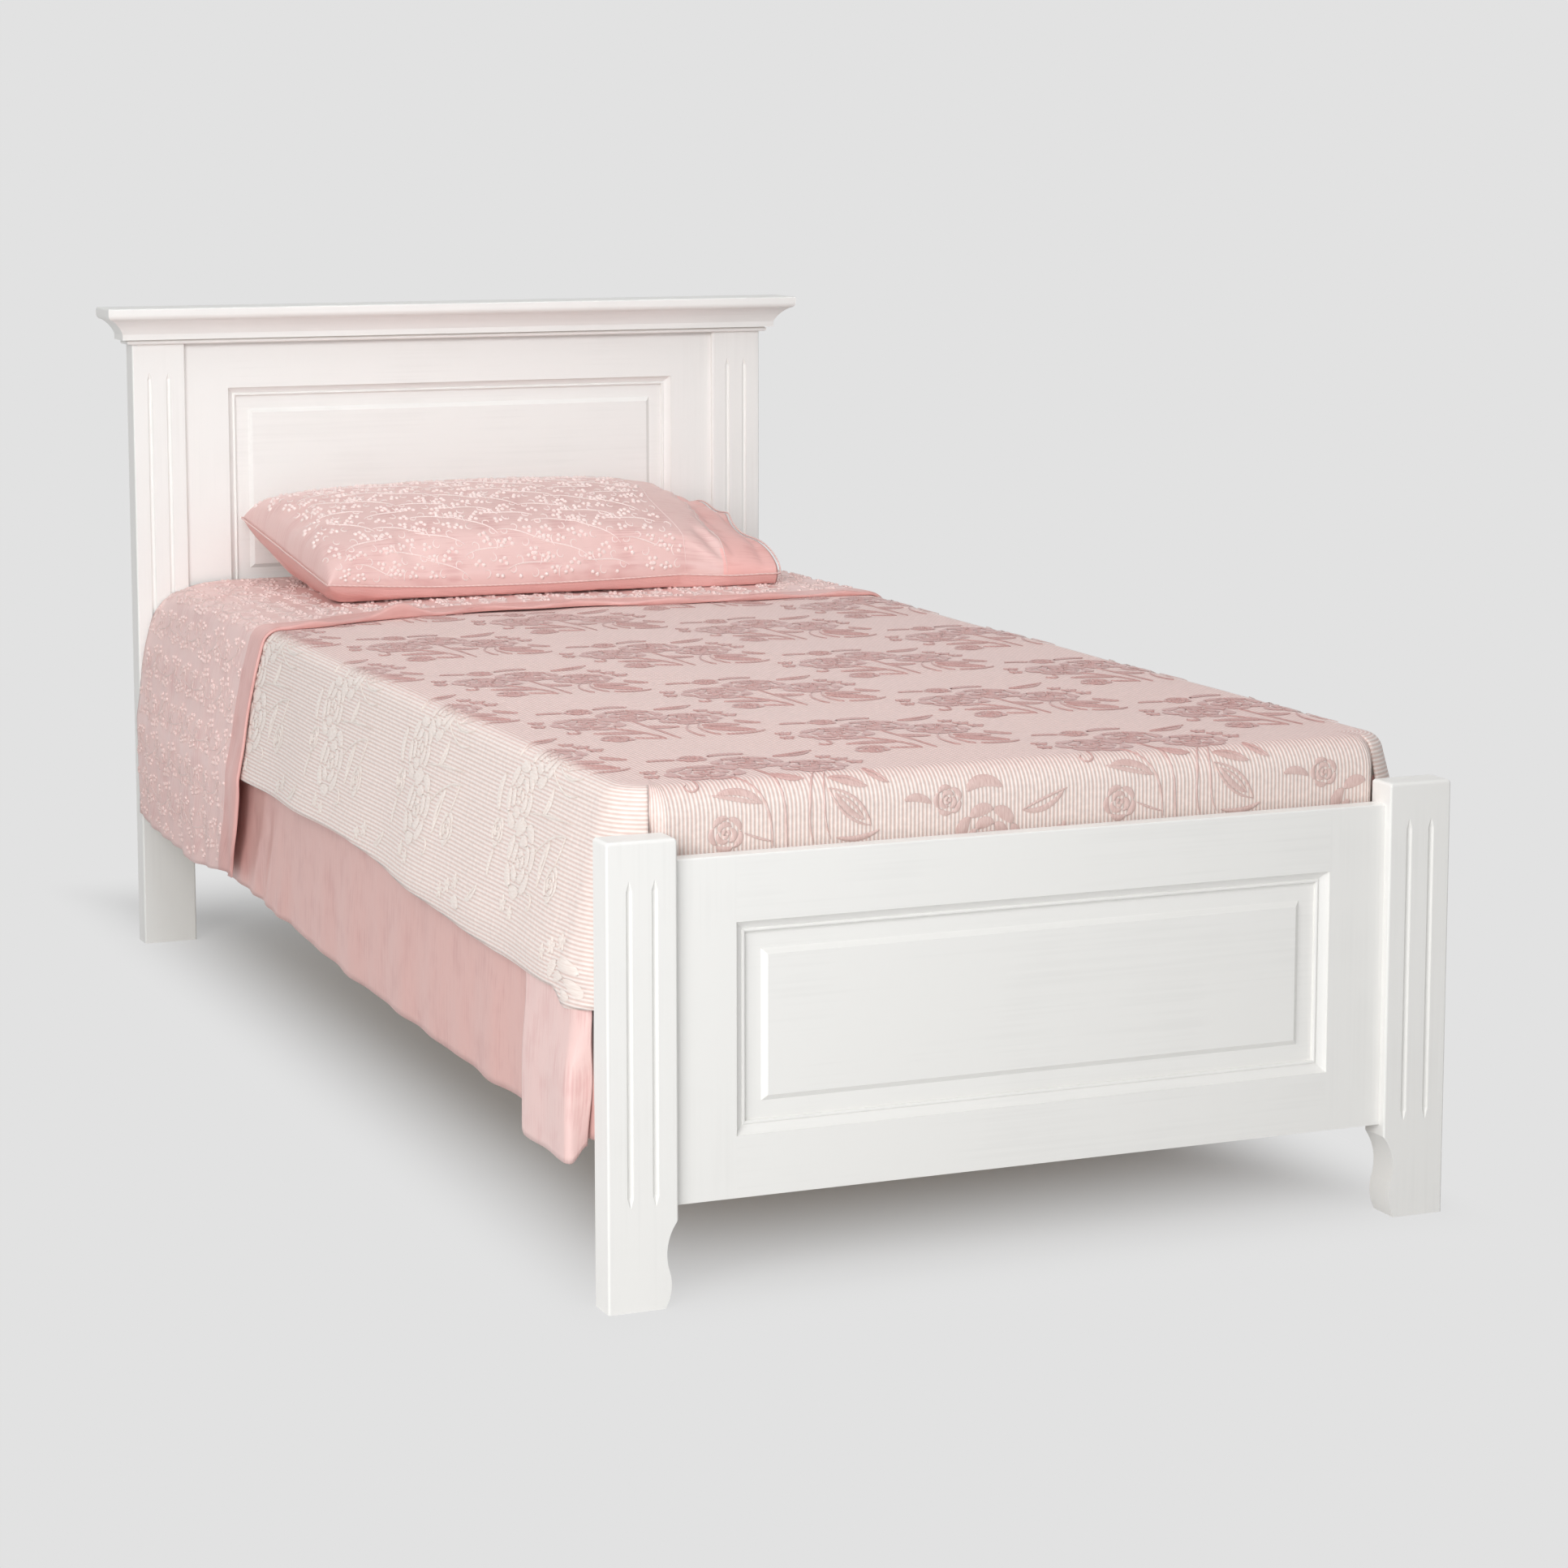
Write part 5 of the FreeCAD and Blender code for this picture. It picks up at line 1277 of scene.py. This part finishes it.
# Painted light: the figure's colour is painted paler where the coverlet hangs, by its lie values.
figure = sew_on("jacquard_bouquets", coverlet_at, woven, np.concatenate([high] * len(place)), on_coverlet,
                "mattress_set", satin_figure("satin_woven_figure"), FLOAT_LIFT, FLOAT_CREST, figure_painted_light_mask)

# %% [markdown]
# ## Embroidered sprigs
# Turn-down and pillowcase carry sprigs worked by hand machine: a curling stem in cord stitch and round
# knots for flowers. The knots are what the light finds, so they are small domes; a knot is repeated a
# thousand times, so it has only eighteen faces.

# %% Embroider
SPRIG = np.concatenate([
    spray(-34, -6, 0.75, 74, -2.2, 1.6, 2.2), spray(-10, 5, 1.0, 22, 1.0, 3.0, 1.9),
    spray(10, -2, -0.9, 24, -1.0, -3.2, 1.9), spray(-22, 2, -1.0, 20, -1.3, -2.6, 1.9),
    spray(16, 2, 0.9, 20, 0.6, 0.8, 1.9),
])
KNOTS = np.array([[2, 17], [9, 20], [10, 12], [24, 16], [31, 13], [26, 8], [18, -16], [25, -12], [26, -20],
                  [-14, -14], [-20, -19], [-9, -20]], float)
KNOT_MM = 3.4
FIBRE_MM = 1.4
SEWN_LIFT, STEM_CREST, KNOT_CREST, STITCH_CREST = 0.0001, 0.0013, 0.0024, 0.0010
TURN_SPRIGS, CASE_SPRIGS = (0.060, 0.052), (0.060, 0.050)


def spun_thread(name, deep, pale):
    """Soft lustrous thread between a deep and a pale colour, uneven every FIBRE_MM."""
    made, tree, shader = new_material(name, Roughness=0.55, Sheen_Weight=0.2)
    spun = noise(tree, in_piece(tree), 1 / (FIBRE_MM * MM), 1.0)
    join(tree, shader, Base_Color=two_tone(tree, spun, deep, pale, 0.3, 0.7),
         Normal=relief(tree, spun, 0.0003, 0.5))
    return made


pale_thread = spun_thread("spun_rayon_pale_thread", "#F0D8D3", "#FCEBE7")
rose_thread = spun_thread("spun_rayon_rose_thread", "#E6C7C2", "#F3DBD6")


def knots(centres):
    """Domes as patches of 4 by 7 points: rings at 1, 0.75, 0.4 and 0 of the radius, each as high as the root of
    one less r squared."""
    ring = np.array([1.0, 0.75, 0.4, 0.02])[:, None]
    angle = np.linspace(0, 2 * np.pi, 7)[None, :]
    flat = np.stack([ring * np.cos(angle), ring * np.sin(angle)], -1) * KNOT_MM
    high = np.sqrt(1 - ring ** 2) + 0 * angle
    return centres[:, None, None, :] + flat[None], np.broadcast_to(high, (len(centres),) + high.shape)


def embroider(name, surface, place, turn, flip, keep, body, thread):
    """Sews the stems and knots of a sprig at each place."""
    pieces = []
    worked = (("_stems", strokes(SPRIG, 15), SEWN_LIFT, STEM_CREST), ("_knots", knots(KNOTS), 0.0, KNOT_CREST))
    for kind, (flat, high), lift, crest in worked:
        pieces.append(sew_on(name + kind, surface, strewn(flat, place, turn, flip),
                             np.concatenate([high] * len(place)), keep, body, thread, lift, crest))
    return pieces


def half_drop(u0, u1, v0, v1, du, dv):
    """Places in a half-drop repeat over a rectangle."""
    i, j = np.meshgrid(np.arange(int((u1 - u0) / du) + 2), np.arange(int((v1 - v0) / dv) + 2), indexing="ij")
    return pairs(u0 + i * du, v0 + j * dv + np.where(i % 2, dv / 2, 0))


def unlike(place, k, m):
    """A number from -1 to 1 for each place that differs from its neighbours'."""
    return np.sin(place[:, 0] * k + place[:, 1] * m)


print("sprig of", len(SPRIG), "stems and", len(KNOTS), "knots")

# %% [markdown]
# On the turn-down the sprigs stand upright in a half-drop of their own, each turned a little and every other one
# mirrored, as a worker's hand varies them. They stop at the hem band.

# %% Embroider the turn-down
def on_turn_down(u, y):
    """True on the embroidered part: behind the band and inside the hems."""
    side = np.abs(u) - RIDGE_X
    return (y > front_edge(u) + BAND + 0.004) & (y < TURN_HEAD - 0.004) & (side < turn_down_hang(y) - 0.006)


place = half_drop(-0.80, 0.80, 0.38, 0.97, *TURN_SPRIGS)
turn = 0.4 * unlike(place, 37, 53) + np.pi / 2
flip = np.where(unlike(place, 91, 17) > 0, 1.0, -1.0)
sewn = embroider("turn_down_embroidery", turn_down_face, place, turn, flip, on_turn_down, "mattress_set",
                 rose_thread)

# %% [markdown]
# On the pillow the same sprigs follow the stuffed panel. Its points are known only on a grid, so between them
# the surface is blended in straight lines, and places across it are measured along the cloth. The embroidery
# ends at a plain band, which two lines of stitching hold.

# %% Embroider the pillow
case_top = shape[number]
case_wide = np.concatenate([[0], np.cumsum(np.linalg.norm(np.diff(case_top[ALONG // 2], axis=0), axis=1))])
case_wide = case_wide - case_wide[-1] / 2


def pillow_face(u, v):
    """The stuffed upper panel at cloth place u, v: straight-line blend of the four nearest grid points."""
    i = np.clip(u / (CASE_RIGHT - CASE_LEFT), 0, 1) * (ALONG - 1)
    j = np.interp(v, case_wide, np.arange(ACROSS))
    i0, j0 = np.minimum(i.astype(int), ALONG - 2), np.minimum(j.astype(int), ACROSS - 2)
    fi, fj = (i - i0)[..., None], (j - j0)[..., None]
    return ((1 - fi) * ((1 - fj) * case_top[i0, j0] + fj * case_top[i0, j0 + 1])
            + fi * ((1 - fj) * case_top[i0 + 1, j0] + fj * case_top[i0 + 1, j0 + 1]))


def on_pillow(u, v):
    """True on the panel left of the band, inside the seam."""
    return (u > 0.008) & (u < BAND_LEFT - CASE_LEFT) & (np.abs(v) < case_wide[-1] - 0.005)


def on_case(u, v):
    """True anywhere on the pillowcase."""
    return np.abs(v) <= case_wide[-1]


place = half_drop(0.02, 0.58, case_wide[0], case_wide[-1], *CASE_SPRIGS)
turn = -0.25 + 0.3 * unlike(place, 43, 61)
flip = np.where(unlike(place, 77, 29) > 0, 1.0, -1.0)
for piece in embroider("pillow_embroidery", pillow_face, place, turn, flip, on_pillow, "pillow", pale_thread):
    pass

half_mm = (case_wide[-1] - 0.004) / MM
lines = np.concatenate([spray((x - CASE_LEFT) / MM, -half_mm, np.pi / 2, 2 * half_mm, 0, 0, 2.2)
                        for x in (BAND_LEFT, BAND_RIGHT)])
flat, high = strokes(lines, 120)
stitched = sew_on("pillow_band_stitching", pillow_face, flat * MM, high, on_case, "pillow", rose_thread, SEWN_LIFT,
                  STITCH_CREST)
